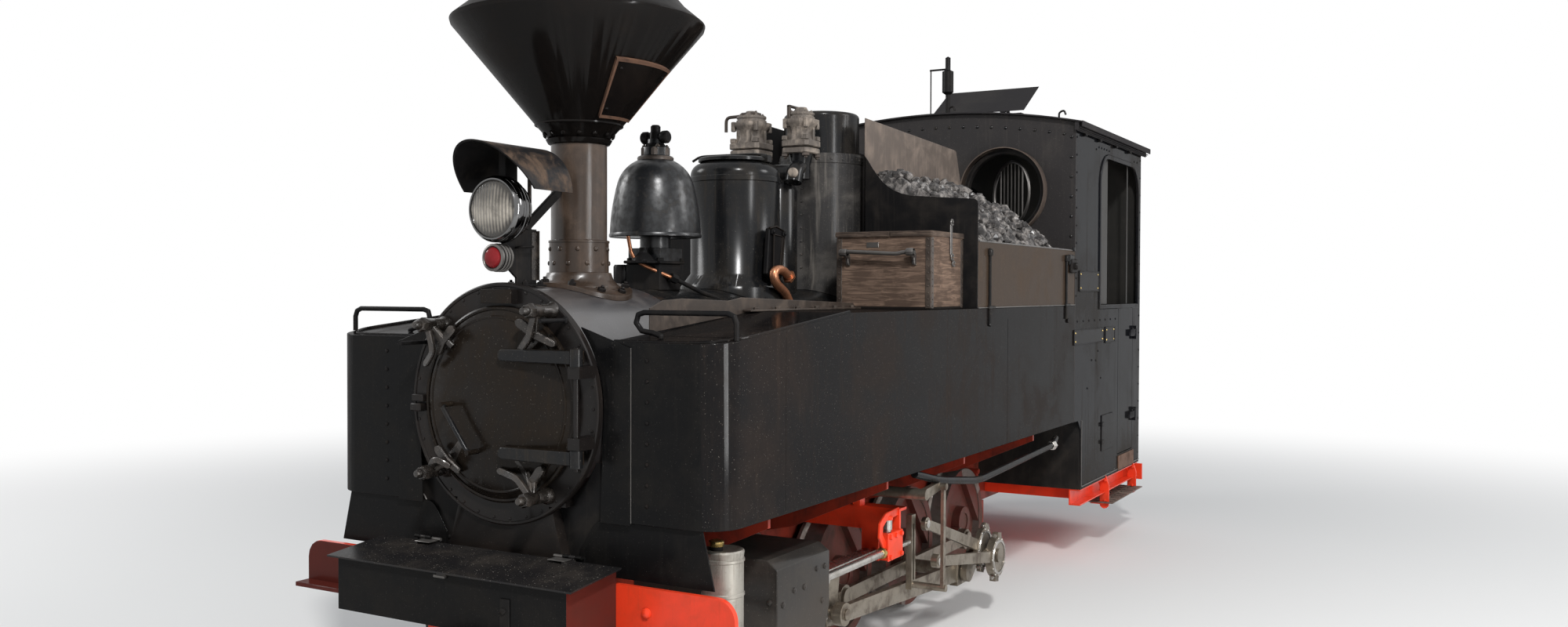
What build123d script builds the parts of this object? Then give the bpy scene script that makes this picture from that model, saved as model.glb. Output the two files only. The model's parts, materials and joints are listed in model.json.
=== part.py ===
from build123d import *
import math
import os

# Narrow-gauge eight-coupled tank engine, in millimetres.
# +X is forward, +Y the engine's left, Z up. X = Y = 0 is the middle of the engine
# and Z = 0 the lowest point of the wheel flanges.

SIDES = ((1, "left"), (-1, "right"))
RUN = 0.05                        # a pin that turns in its bush
SEAT = 0.4                        # a fitting over the curved plate that carries it
EASY = 0.5                        # curved plates of one body that don't quite touch

# Wheels, axles and cranks
FLANGE = 22
WHEEL_R = 300
AXLE_Z = WHEEL_R + FLANGE
AXLE_PITCH = 755
AXLES = {1: 2 * AXLE_PITCH, 2: AXLE_PITCH, 3: 0, 4: -AXLE_PITCH}
DRIVEN = 3                        # the axle that the connecting rods turn
AXLE_R = 50
WHEEL_Y0, WHEEL_Y1 = 274, 384     # inner and outer face of a wheel
THROW = 120                       # half the piston stroke
CRANK_DEG = {1: -40, -1: 50}      # crank angle at rest by side
PIN_R = 32

# Rods, from the wheels outwards
COUPLING_Y = (402, 440)
SLIDE_Y = (585, 650)              # slide bar, over the crosshead
CROSSHEAD_Y = (592, 643)
CONROD_Y = (664, 706)
RETURN_CRANK_Y = (712, 744)
LINK_Y = (722, 750)
ECCENTRIC_Y = ((764, 796), (812, 852))    # inner and outer sheave
CONROD_L = 1290
SLIDE_Z0, SLIDE_Z1 = 470, 505

# Eccentrics: turn from the crank, throw, and radii of sheave and strap
ECC_TURN = (115, -115)
ECC_THROW = 34
SHEAVE_R, STRAP_R = 71, 98

# Main frame and beams
FRAME_Y0, FRAME_Y1 = 222, 240
FRAME_Z0, FRAME_Z1 = 205, 690
TAIL_Z0, TAIL_Z1 = 335, 443       # shallow ends of the frame plates
BEAM_X, BEAM_HALF = 2610, 950
BEAM_Z0, BEAM_Z1 = 512, 679
BEAM_T = 20
TAIL_X = -2780
PLATFORM_Z = 526
BUFFER_X, BUFFER_HALF = 3060, 150
COUPLING_X, COUPLING_R = 3028, 14

# Toolbox on the front platform
BOX_X0, BOX_X1, BOX_HALF, BOX_T = 2630, 2880, 500, 6
BOX_BACK_Z, BOX_FRONT_Z = 734, 708
LID_HINGE = (2648, 752)           # X and Z of the lid's pin

# Boiler, smokebox and its door
BOILER_Z = 1236
BOILER_R = 395
SMOKEBOX_R = 402
SMOKEBOX_X0, RING_X0, RING_X1 = 1950, 2590, 2612
FIREBOX_X0, BARREL_X0, FIREBOX_Z0 = -1400, -330, 700
SADDLE_X, SADDLE_HALF = 1990, 268
DOOR_R = 335
DOOR_PIN = (2680, 377)            # X and Y of the hinge post
DOOR_STRAPS_Z = (1079, 1408)
DOOR_LUGS_Z = (1128, 1360)         # on the smokebox, between the door's straps
CLAMPS = [(-258, 1505), (221, 1558), (-252, 995), (203, 938)]   # Y, Z of the door clamps
CLAMP_FOOT, CLAMP_TIP = 270, 2745    # radius of the bars' feet, X of the studs' ends
GRAB = ((-182, 1232), (-61, 1075))   # Y, Z of the grab bar's feet
LAMP_PAD = (70, 1579, 1629)        # half width and Z of the pad under the headlamp

# Fittings along the top: X of each axis and its main radii
CHIMNEY_X, STACK_R, STACK_T = 2195, 103, 12
FLANGE_R, FLANGE_T = 197, 16       # chimney's foot on the smokebox
BELL_X, BELL_R, BELL_BASE = 1707, 184, 78
SAND_X, SAND_R = 1090, 200
VALVE_X, VALVE_Y = 700, 125
DOME_X, DOME_R, CASING_R = 260, 190, 210
LAMP_Z, LAMP_R = 1901, 112
MARKER_Z, MARKER_R = 1736, 45
GUSSET_TOP_Z = 1840
HOOD_X0, HOOD_X1, HOOD_PEAK_X = 2430, 2625, 2770    # rear, front at the sides, front at the top
HOOD_Z, HOOD_R, HOOD_T = 1965, 160, 6
HOOD_POST_X = 2470

# Side tanks, shields and bunkers
FRONT_X = 2580
TANK_GAP = 28                     # between smokebox and tank
TANK_Y0, TANK_Y1 = SMOKEBOX_R + TANK_GAP, 870
TANK_Z0, TANK_Z1 = 866, 1545
TANK_FRONT_Z, TANK_SLOPE_X, TANK_CORNER = 1457, 1684, 120
RAIL_X, RAIL_R = 2480, 9          # bent rail over the tank's front
SHIELD_T = 6
BUNKER_X, BUNKER_GAP, BUNKER_T = 340, 40, 6
BUNKER_Y0 = BUNKER_GAP + math.sqrt(max(BOILER_R ** 2 - (TANK_Z1 - BOILER_Z) ** 2, 0))
BUNKER_Y1 = TANK_Y1 - 2
CHEST_X0, CHEST_X1, CHEST_Y0, CHEST_Y1, CHEST_Z = 360, 740, 335, 800, 1870

# Cab and its arched roof
CAB_X0, CAB_X1 = -2811, -1245
CAB_Z0, FLOOR_T = 453, 14
CAB_STEP_X = -1390                # the cab's lower front plate
WALL = 10
EAVE_Y, EAVE_Z, RIDGE_Z = 918, 2604, 2705
ROOF_X0, ROOF_X1, ROOF_T = -2870, -1205, 8
ROOF_R = (EAVE_Y ** 2 + (RIDGE_Z - EAVE_Z) ** 2) / (2 * (RIDGE_Z - EAVE_Z))
ROOF_CZ = RIDGE_Z - ROOF_R
SPECT_Y, SPECT_Z, SPECT_R, REAR_SPECT_R = 440, 2215, 228, 190
WIN_X0, WIN_X1, WIN_Z0, WIN_Z1, WIN_CORNER = -2727, -1780, 1539, 2460, 180
DOOR_X0, DOOR_X1, DOOR_Z0, DOOR_Z1 = -2616, -2230, 566, 1534
DOOR_HINGES_Z = (800, 1350)
KNUCKLE_R = 10
SOLE_Y0, SOLE_Y1, SOLE_Z0, SOLE_T = 800, 868, 357, 8

# Hatch in the roof, hinged at its front edge
HATCH_X, HATCH_PIN_Z = -1948, 2798
HATCH_L, HATCH_HALF, HATCH_T, HATCH_DEG = 371, 320, 5, 32
COAMING_X0, COAMING_X1, COAMING_HALF, COAMING_Z, COAMING_T = -2306, -1958, 300, 2786, 6
WHISTLE_X = -1437

# Cylinders and valve gear
CYL_X0, CYL_X1, CYL_Y = 1790, 2180, 625
SPINDLE_Y, SPINDLE_Z0, SPINDLE_Z1, SPINDLE_R = 736, 520, 526, 11
LINK_X, LINK_Z0, LINK_Z1 = 801, 310, 640
SHAFT_X, SHAFT_Z, SHAFT_R = 960, 760, 24
BRACKET_X0, BRACKET_X1 = 950, 966
GLAND_X = CYL_X0 - 50


# Small builders
def block(x0, x1, y0, y1, z0, z1, mode=Mode.ADD):
    with Locations(((x0 + x1) / 2, (y0 + y1) / 2, (z0 + z1) / 2)):
        Box(abs(x1 - x0), abs(y1 - y0), abs(z1 - z0), mode=mode)


def rod(axis, at, a, b, r, mode=Mode.ADD):
    """Round bar along axis from a to b; at holds the other two coordinates."""
    turn = {"x": (0, 90, 0), "y": (90, 0, 0), "z": (0, 0, 0)}[axis]
    m = (a + b) / 2
    pos = {"x": (m, *at), "y": (at[0], m, at[1]), "z": (*at, m)}[axis]
    with Locations(Location(pos, turn)):
        Cylinder(r, abs(b - a), mode=mode)


def bar(p, q, r, mode=Mode.ADD):
    """Round bar between two points."""
    d = Vector(*q) - Vector(*p)
    with Locations(Plane(origin=(Vector(*p) + Vector(*q)) / 2, z_dir=d).location):
        Cylinder(r, d.length, mode=mode)


def bent_bar(points, r):
    """Round bar through points, rounded at its bends."""
    for p, q in zip(points, points[1:]):
        bar(p, q, r)
    for p in points[1:-1]:
        with Locations(p):
            Sphere(r)


def plane_of(normal, at):
    return {
        "x": Plane(origin=(at, 0, 0), x_dir=(0, 1, 0), z_dir=(1, 0, 0)),
        "y": Plane(origin=(0, at, 0), x_dir=(-1, 0, 0), z_dir=(0, 1, 0)),
        "z": Plane(origin=(0, 0, at), x_dir=(1, 0, 0), z_dir=(0, 0, 1)),
    }[normal]


def corner(sk, u, v):
    """The sketch's vertex nearest to (u, v) on its plane."""
    local = [(sk.workplanes[0].to_local_coords(w), w) for w in sk.vertices()]
    return min(local, key=lambda pair: math.hypot(pair[0].X - u, pair[0].Y - v))[1]


def plate(normal, a, b, outline, mode=Mode.ADD, fillet_at=()):
    """Flat plate from a to b along normal. outline is (Y,Z), (X,Z) or (X,Y);
    fillet_at holds (corner index, radius)."""
    s = -1 if normal == "y" else 1
    with BuildSketch(plane_of(normal, min(a, b))) as sk:
        with BuildLine():
            Polyline(*[(s * u, v) for u, v in outline], close=True)
        make_face()
        for i, r in fillet_at:
            fillet(corner(sk, s * outline[i][0], outline[i][1]), r)
    extrude(sk.sketch, amount=abs(b - a), mode=mode)


def closed_line(points):
    """Closed line through points; ("arc", middle, end) bends through middle."""
    at = points[0]
    for p in points[1:] + points[:1]:
        if p[0] == "arc":
            ThreePointArc(at, p[1], p[2])
            at = p[2]
        else:
            Line(at, p)
            at = p


def turned(x, y, profile, mode=Mode.ADD):
    """Body of revolution about a vertical axis; profile is (radius, z)."""
    with BuildSketch(Plane(origin=(x, y, 0), x_dir=(1, 0, 0), z_dir=(0, -1, 0))) as sk:
        with BuildLine():
            closed_line(profile)
        make_face()
    revolve(sk.sketch, Axis((x, y, 0), (0, 0, 1)), 360, mode=mode)


def turned_x(y, z, profile, mode=Mode.ADD):
    """Body of revolution about a lengthwise axis; profile is (x, radius)."""
    with BuildSketch(Plane(origin=(0, y, z), x_dir=(1, 0, 0), z_dir=(0, -1, 0))) as sk:
        with BuildLine():
            closed_line(profile)
        make_face()
    revolve(sk.sketch, Axis((0, y, z), (1, 0, 0)), 360, mode=mode)


def rod_bar(x0, z0, x1, z1, y0, y1, h0, h1, mode=Mode.ADD):
    """Flat bar in the XZ plane between two eyes, deep h0 and h1 at its ends."""
    d = math.hypot(x1 - x0, z1 - z0)
    nx, nz = -(z1 - z0) / d / 2, (x1 - x0) / d / 2
    plate("y", y0, y1, [(x0 + nx * h0, z0 + nz * h0), (x1 + nx * h1, z1 + nz * h1),
                        (x1 - nx * h1, z1 - nz * h1), (x0 - nx * h0, z0 - nz * h0)], mode)


def sy(side, y0, y1):
    """A Y range on the given side, low value first."""
    return tuple(sorted((side * y0, side * y1)))


def crank(side, turn=0, throw=THROW):
    """Offset in X and Z of a crank on the given side."""
    a = math.radians(CRANK_DEG[side] + turn)
    return throw * math.cos(a), throw * math.sin(a)


def crank_pin(side, axle=DRIVEN):
    cx, cz = crank(side)
    return AXLES[axle] + cx, AXLE_Z + cz


def sheave(side, i):
    """Centre in X and Z of the inner (0) or outer (1) eccentric."""
    cx, cz = crank(side, ECC_TURN[i], ECC_THROW)
    return AXLES[DRIVEN] + cx, AXLE_Z + cz


def crosshead_x(side):
    px, pz = crank_pin(side)
    return px + math.sqrt(CONROD_L ** 2 - (pz - AXLE_Z) ** 2)


def over_boiler(x0, x1, r):
    """Cuts a fitting's foot to the barrel below it."""
    rod("x", (0, BOILER_Z), x0, x1, r + SEAT, Mode.SUBTRACT)


# Frame, beams and front toolbox
def main_frame():
    front_rise, rear_rise, step_x = (1900, 2050), (-1150, -1300), -1375
    bracket_x = (2250, 1300, 450, -560)
    between_axles = [(n + 0.5) * AXLE_PITCH for n in (-2, -1, 0, 1)]
    box_half, keep_r = 85, 62
    with BuildPart() as p:
        for side, tag in SIDES:
            y0, y1 = sy(side, FRAME_Y0, FRAME_Y1)
            plate("y", y0, y1, [(BEAM_X, TAIL_Z0), (BEAM_X, FRAME_Z1), (step_x, FRAME_Z1), (step_x, TAIL_Z1),
                                (TAIL_X, TAIL_Z1), (TAIL_X, TAIL_Z0), (rear_rise[1], TAIL_Z0),
                                (rear_rise[0], FRAME_Z0), (front_rise[0], FRAME_Z0), (front_rise[1], TAIL_Z0)])
            for x in AXLES.values():
                rod("y", (x, AXLE_Z), y0, y1, keep_r, Mode.SUBTRACT)
                y2, y3 = sy(side, FRAME_Y0 - 60, FRAME_Y0)
                block(x - box_half, x + box_half, y2, y3, AXLE_Z - box_half, AXLE_Z + 120)
                rod("y", (x, AXLE_Z), y2, y3, AXLE_R + RUN, Mode.SUBTRACT)
            for x in bracket_x:       # brackets that carry the tank
                arm = [(FRAME_Y1, 600), (FRAME_Y1, TANK_Z0), (850, TANK_Z0), (850, 830), (420, 640)]
                plate("x", x - 8, x + 8, [(side * y, z) for y, z in arm])
        block(FIREBOX_X0, BARREL_X0 + 1, -BOILER_R - 1, BOILER_R + 1, FIREBOX_Z0 - 6, 1300, Mode.SUBTRACT)
        block(SADDLE_X - 5, 2604, -SADDLE_HALF - 4, SADDLE_HALF + 4, FRAME_Z1 + SEAT, 1000, Mode.SUBTRACT)
        for x in (2560, 1900, *between_axles, -1900, -2700):
            top = 680 if x > step_x else 430
            block(x - 10, x + 10, -FRAME_Y0, FRAME_Y0, 345, top)
    return p.part


def buffer_gear(end, x_beam, z):
    """Centre buffer with its coupling jaw; end is +1 in front and -1 behind."""
    head = BUFFER_X - 100
    block(end * x_beam, end * head, -45, 45, z - 45, z + 45)
    outline = [(-BUFFER_HALF, z - 100), (-BUFFER_HALF, z + 90), (BUFFER_HALF, z + 90), (BUFFER_HALF, z - 100)]
    plate("x", end * head, end * BUFFER_X, outline, fillet_at=[(i, 60) for i in range(4)])
    block(end * (head + 40), end * BUFFER_X, -90, 90, z - 20, z + 20, Mode.SUBTRACT)
    rod("z", (end * COUPLING_X, 0), z - 120, z + 120, COUPLING_R, Mode.SUBTRACT)


def front_beam():
    with BuildPart() as p:
        outline = [(-BEAM_HALF, BEAM_Z0), (-BEAM_HALF, BEAM_Z1), (BEAM_HALF, BEAM_Z1), (BEAM_HALF, BEAM_Z0)]
        plate("x", BEAM_X, BEAM_X + BEAM_T, outline, fillet_at=((1, 70), (2, 70)))
        block(BEAM_X + BEAM_T, 2690, -BEAM_HALF, BEAM_HALF, BEAM_Z0, PLATFORM_Z)
        block(BEAM_X, BEAM_X + BEAM_T, -330, 330, 330, BEAM_Z0)
        buffer_gear(1, BEAM_X + BEAM_T, 400)
    return p.part


def rear_beam():
    with BuildPart() as p:
        block(TAIL_X - BEAM_T + 1, TAIL_X, -900, 900, TAIL_Z0, TAIL_Z1)
        buffer_gear(-1, BEAM_T - 1 - TAIL_X, 390)
    return p.part


LID_HINGE_Y = (-335, 335)
LID_EAR_Y = ((-38, -14), (14, 38))


def toolbox():
    hx, hz = LID_HINGE
    with BuildPart() as p:
        plate("y", -BOX_HALF, BOX_HALF, [(BOX_X0, PLATFORM_Z), (BOX_X0, BOX_BACK_Z), (BOX_X1, BOX_FRONT_Z),
                                         (BOX_X1, PLATFORM_Z)])
        block(BOX_X0 + BOX_T, BOX_X1 - BOX_T, BOX_T - BOX_HALF, BOX_HALF - BOX_T, PLATFORM_Z + BOX_T, 760,
              Mode.SUBTRACT)
        for y in LID_HINGE_Y:
            block(BOX_X0, BOX_X0 + 5, y - 40, y + 40, BOX_BACK_Z - 4, hz - 2)
            for y0, y1 in LID_EAR_Y:
                rod("y", (hx, hz), y + y0, y + y1, 6)
                block(BOX_X0, hx, y + y0, y + y1, hz - 6, hz)
    return p.part


def toolbox_lid():
    hx, hz = LID_HINGE
    with BuildPart() as p:
        plate("y", -533, 533, [(hx - 2, 732.9), (hx - 2, 738.9), (2900, 712.4), (2900, 706.4)])
        for y in LID_HINGE_Y:
            block(hx - 2, 2690, y - 12, y + 12, 734, 742)
            rod("y", (hx, hz), y - 12, y + 12, 6)
            block(hx - 4, hx + 4, y - 12, y + 12, 736, hz)
        block(BOX_X1 + 0.5, 2900, -20, 20, 700, 708)
    return p.part


# Smokebox and boiler
def smokebox():
    skirt = [(400, 680), (SADDLE_HALF, 680), (205, 900), (400, 900)]
    shell = 16
    px, py = DOOR_PIN
    with BuildPart() as p:
        rod("x", (0, BOILER_Z), SMOKEBOX_X0, RING_X0, SMOKEBOX_R)
        rod("x", (0, BOILER_Z), RING_X0, RING_X1, SMOKEBOX_R + 12)
        block(SADDLE_X, 2600, -SADDLE_HALF, SADDLE_HALF, FRAME_Z1 + 1, 1000)
        rod("x", (0, BOILER_Z), SMOKEBOX_X0 - 10, RING_X0 - 8, SMOKEBOX_R - shell, Mode.SUBTRACT)
        rod("x", (0, BOILER_Z), RING_X0 - 20, RING_X1 + 20, DOOR_R - 35, Mode.SUBTRACT)
        rod("z", (CHIMNEY_X, 0), BOILER_Z, BOILER_Z + SMOKEBOX_R + 10, STACK_R - STACK_T, Mode.SUBTRACT)
        for side, tag in SIDES:       # the saddle narrows towards the frame
            plate("x", SADDLE_X - 10, 2620, [(side * y, z) for y, z in skirt], Mode.SUBTRACT)
        for z in DOOR_LUGS_Z:         # lugs of the hinge post
            block(RING_X1, px + 14, py - 24, py + 24, z - 20, z + 20)
        rod("z", (px, py), 1040, 1440, 9)
        half, z0, z1 = LAMP_PAD
        block(RING_X1, RING_X1 + 28, -half, half, z0, z1)
    return p.part


def smokebox_door():
    px, py = DOOR_PIN
    with BuildPart() as p:
        turned_x(0, BOILER_Z, [(2613, 0), (2613, DOOR_R), (2624, DOOR_R), (2640, 300), (2662, 200), (2672, 90),
                               (2674, 0)])
        for z in DOOR_STRAPS_Z:
            block(2640, px + 4, 60, py, z - 22, z + 22)
            rod("z", DOOR_PIN, z - 22, z + 22, 20)
            rod("z", DOOR_PIN, z - 30, z + 30, 9.3, Mode.SUBTRACT)
        for y, z in GRAB:
            rod("x", (y, z), 2640, 2720, 9)
        bar((2712, *GRAB[0]), (2712, *GRAB[1]), 7)
        for y, z in CLAMPS:           # clamp dogs and their studs
            d = math.hypot(y, z - BOILER_Z)
            inner = CLAMP_FOOT / d
            rod("x", (y, z), RING_X1 + 0.4, CLAMP_TIP, 16)
            bar((2652, y * inner, BOILER_Z + (z - BOILER_Z) * inner), (2690, y, z), 12)
    return p.part


def boiler():
    with BuildPart() as p:
        rod("x", (0, BOILER_Z), BARREL_X0, SMOKEBOX_X0 - EASY, BOILER_R)
        block(FIREBOX_X0, BARREL_X0, -BOILER_R, BOILER_R, FIREBOX_Z0, BOILER_Z)
        rod("x", (0, BOILER_Z), FIREBOX_X0, BARREL_X0, BOILER_R)
    return p.part


def ash_pan():
    with BuildPart() as p:
        plate("y", -155, 155, [(-400, FIREBOX_Z0), (-1110, FIREBOX_Z0), (-1110, 560), (-1000, 420), (-500, 420),
                               (-400, 560)])
    return p.part


# Fittings along the top
def chimney():
    r, t = STACK_R, STACK_T
    at = (CHIMNEY_X, 0)
    with BuildPart() as p:
        rod("x", (0, BOILER_Z), CHIMNEY_X - FLANGE_R, CHIMNEY_X + FLANGE_R, SMOKEBOX_R + FLANGE_T)
        rod("z", at, BOILER_Z, BOILER_Z + SMOKEBOX_R + FLANGE_T, FLANGE_R, Mode.INTERSECT)
        outside = [(150, 1560), (150, 1640), (128, 1662), (118, 1690), (108, 1692), (108, 1804), (r, 1808),
                   (r, 2172), (158, 2232), (462, 2592), (466, 2606), (400, 2660), (285, 2790), (225, 2832),
                   (225, 2856)]
        inside = [(213, 2856), (213, 2826), (275, 2782), (390, 2652), (448, 2602), (146, 2240), (r - t, 2166),
                  (r - t, 1560)]
        turned(CHIMNEY_X, 0, outside + inside)
        rod("z", at, BOILER_Z, 1800, r - t, Mode.SUBTRACT)
        over_boiler(1940, 2600, SMOKEBOX_R)
    return p.part


def bell():
    with BuildPart() as p:
        turned(BELL_X, 0, [(0, 1580), (62, 1580), (62, 1840), (BELL_R, 1842), ("arc", (176, 1945), (154, 2055)),
                           ("arc", (128, 2108), (66, 2153)), (66, 2168), (58, 2170), (58, 2202), (34, 2203),
                           (34, 2236), (14, 2237), (14, 2294), (0, 2294)])
        block(BELL_X - BELL_BASE, BELL_X + BELL_BASE, -BELL_BASE, BELL_BASE, 1740, 1795)
        over_boiler(1400, 2000, BOILER_R)
    return p.part


def sand_dome():
    with BuildPart() as p:
        turned(SAND_X, 0, [(0, 1540), (SAND_R + 45, 1540), (SAND_R + 45, 1640), (SAND_R, 1700), (SAND_R, 2130),
                           ("arc", (SAND_R - 12, 2172), (SAND_R - 50, 2192)), (0, 2201)])
        over_boiler(700, 1500, BOILER_R)
    return p.part


def safety_valves():
    with BuildPart() as p:
        turned(VALVE_X, 0, [(0, 1600), (90, 1600), (90, 2190), (0, 2190)])
        block(VALVE_X - 60, VALVE_X + 60, -225, 225, 2150, 2215)
        for side, tag in SIDES:
            turned(VALVE_X, side * VALVE_Y, [(0, 2215), (62, 2215), (62, 2240), (48, 2245), (48, 2330), (66, 2336),
                                             (66, 2360), (0, 2400)])
        over_boiler(500, 900, BOILER_R)
    return p.part


def steam_dome():
    lip = 2302
    with BuildPart() as p:
        turned(DOME_X, 0, [(0, 1540), (CASING_R + 16, 1540), (CASING_R, 1690), (CASING_R, lip), (DOME_R, lip),
                           (DOME_R, 2490), ("arc", (DOME_R - 6, 2506), (DOME_R - 20, 2512)), (0, 2516)])
        over_boiler(-100, 700, BOILER_R)
    return p.part


def headlamp():
    gusset = [(2439, 1600), (2541, 1600), (2541, 1668), (2610, 1720), (2610, 1850), (2560, 1850),
              (2500, GUSSET_TOP_Z), (2439, GUSSET_TOP_Z)]
    with BuildPart() as p:
        turned_x(0, LAMP_Z, [(2655, 0), (2655, LAMP_R - 10), (2650, LAMP_R), (2600, LAMP_R),
                             (2565, LAMP_R - 22), (2548, LAMP_R - 60), (2542, 0)])
        plate("y", -5, 5, gusset)
        turned_x(0, MARKER_Z, [(2655, 0), (2655, MARKER_R), (2600, MARKER_R), (2580, MARKER_R - 20), (2575, 0)])
        over_boiler(2400, 2560, SMOKEBOX_R)
    return p.part


def lamp_hood():
    with BuildPart() as p:
        rod("x", (0, HOOD_Z), HOOD_X0, HOOD_PEAK_X, HOOD_R)
        rod("x", (0, HOOD_Z), HOOD_X0 - 10, HOOD_PEAK_X + 10, HOOD_R - HOOD_T, Mode.SUBTRACT)
        block(HOOD_X0 - 20, HOOD_PEAK_X + 20, -300, 300, 1500, HOOD_Z, Mode.SUBTRACT)
        plate("y", -300, 300, [(HOOD_X1, HOOD_Z - 1), (HOOD_PEAK_X, HOOD_Z + HOOD_R + 1),
                               (HOOD_PEAK_X + 20, HOOD_Z + HOOD_R + 1), (HOOD_PEAK_X + 20, HOOD_Z - 1)],
              Mode.SUBTRACT)
        rod("z", (HOOD_POST_X, 0), GUSSET_TOP_Z, HOOD_Z + HOOD_R - 3, 7)
        bar((HOOD_POST_X, 0, GUSSET_TOP_Z + 10), (CHIMNEY_X + STACK_R + 4.7, 0, 1985), 7)
    return p.part


# Side tanks, shields, bunkers and chest
def tank(side):
    y0, y1 = sy(side, TANK_Y0, TANK_Y1)
    with BuildPart() as p:
        outline = [(CAB_X1, side * TANK_Y0), (FRONT_X, side * TANK_Y0), (FRONT_X, side * TANK_Y1),
                   (CAB_X1, side * TANK_Y1)]
        plate("z", TANK_Z0, TANK_Z1, outline, fillet_at=((2, TANK_CORNER),))
        plate("y", y0 - 10, y1 + 10, [(FRONT_X + 1, TANK_FRONT_Z), (FRONT_X + 1, TANK_Z1 + 10),
                                      (TANK_SLOPE_X, TANK_Z1 + 10), (TANK_SLOPE_X, TANK_Z1)], Mode.SUBTRACT)
    return p.part


def front_shields():
    """Plates that close the gap beside the smokebox and the one under each tank."""
    with BuildPart() as p:
        for side, tag in SIDES:
            upper = [(400, 860), (521, 860), (521, 1440), (320, 1505), (414.8, 1236)]
            lower = [(300, 680), (300, 760), (370, TANK_Z0), (790, TANK_Z0), (835, 680)]
            plate("x", FRONT_X, FRONT_X + SHIELD_T, [(side * y, z) for y, z in upper])
            plate("x", FRONT_X - 20, FRONT_X - 20 + SHIELD_T, [(side * y, z) for y, z in lower],
                  fillet_at=((2, 60),))
        rod("x", (0, BOILER_Z), 2500, 2700, SMOKEBOX_R + 13, Mode.SUBTRACT)
    return p.part


def coal_bunkers():
    x0, y0, y1, t = BUNKER_X, BUNKER_Y0, BUNKER_Y1, BUNKER_T
    low, top, base = 1861, 2475, TANK_Z1
    scoop = [(y0, base), (y0, 2290), ("arc", (360, 2150), (520, 2074)), (850, 2060), (y1, 2035), (y1, base)]
    inner = [(x0 - t, base), (x0 - t, top), (-1020, top - 35), (-1140, top - 35), (-1176, 2200), (-1176, 1990),
             (CAB_X1, 1990), (CAB_X1, base)]
    with BuildPart() as p:
        for side, tag in SIDES:
            with BuildSketch(plane_of("x", x0 - t)) as sk:
                with BuildLine():
                    closed_line([("arc", *[(side * y, z) for y, z in q[1:]]) if q[0] == "arc"
                                 else (side * q[0], q[1]) for q in scoop])
                make_face()
            extrude(sk.sketch, amount=t)
            plate("y", *sy(side, y0, y0 + t), inner)
            plate("y", *sy(side, y1 - t, y1), [(x0 - t, base), (x0 - t, low), (CAB_X1, low), (CAB_X1, base)])
            block(CAB_X1, x0 - t, *sy(side, y0 + t, y1 - t), base, base + t + 1)
    return p.part


def coal():
    y0, y1, z0 = BUNKER_Y0 + BUNKER_T + EASY, BUNKER_Y1 - BUNKER_T - EASY, TANK_Z1 + BUNKER_T + 1 + EASY
    heap = [(y0, z0), (y0, 2110), (420, 2080), (640, 1990), (y1, 1850), (y1, z0)]
    with BuildPart() as p:
        for side, tag in SIDES:
            plate("x", CAB_X1 + 1.5, BUNKER_X - BUNKER_T - EASY, [(side * y, z) for y, z in heap])
        block(CAB_X1 - 5, CAB_X1 + 70, -720, 720, 1945, 2200, Mode.SUBTRACT)
    return p.part


def tool_chest():
    lid = 5
    with BuildPart() as p:
        block(CHEST_X0, CHEST_X1, CHEST_Y0, CHEST_Y1, TANK_Z1, CHEST_Z)
        block(CHEST_X0 - lid, CHEST_X1 + lid, CHEST_Y0 - lid, CHEST_Y1 + lid, CHEST_Z, CHEST_Z + 25)
    return p.part


# Cab
def under_roof(y):
    """Height of the walls' top edge, just under the roof sheet."""
    return ROOF_CZ + math.sqrt((ROOF_R - ROOF_T - EASY) ** 2 - y ** 2)


def cab_end(x0, z0):
    """End wall from x0 to x0 + WALL, with its arched top."""
    half, r = TANK_Y1, ROOF_R - ROOF_T - EASY
    top = under_roof(half)
    with BuildSketch(plane_of("x", x0)) as sk:
        with BuildLine():
            Polyline((half, top), (half, z0), (-half, z0), (-half, top))
            RadiusArc((-half, top), (half, top), r)
        make_face()
    extrude(sk.sketch, amount=WALL)


def cab_front():
    cut = (CAB_X1 - 2 * WALL, CAB_X1 + WALL)
    r = BOILER_R + EASY
    with BuildPart() as p:
        cab_end(CAB_X1 - WALL, TANK_Z0)
        block(*cut, -r, r, TANK_Z0 - 10, BOILER_Z, Mode.SUBTRACT)
        rod("x", (0, BOILER_Z), *cut, r, Mode.SUBTRACT)
        for side, tag in SIDES:
            rod("x", (side * SPECT_Y, SPECT_Z), *cut, SPECT_R, Mode.SUBTRACT)
    return p.part


def spectacle_hoods():
    r, t, depth = 262, 6, 60
    with BuildPart() as p:
        for side, tag in SIDES:
            at = (side * SPECT_Y, SPECT_Z)
            rod("x", at, CAB_X1 + 0.3, CAB_X1 + depth, r)
            rod("x", at, CAB_X1 - 10, CAB_X1 + depth + 10, r - t, Mode.SUBTRACT)
    return p.part


def cab_rear():
    with BuildPart() as p:
        cab_end(CAB_X0, CAB_Z0)
        for side, tag in SIDES:
            rod("x", (side * SPECT_Y, SPECT_Z), CAB_X0 - WALL, CAB_X0 + 2 * WALL, REAR_SPECT_R, Mode.SUBTRACT)
    return p.part


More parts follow.
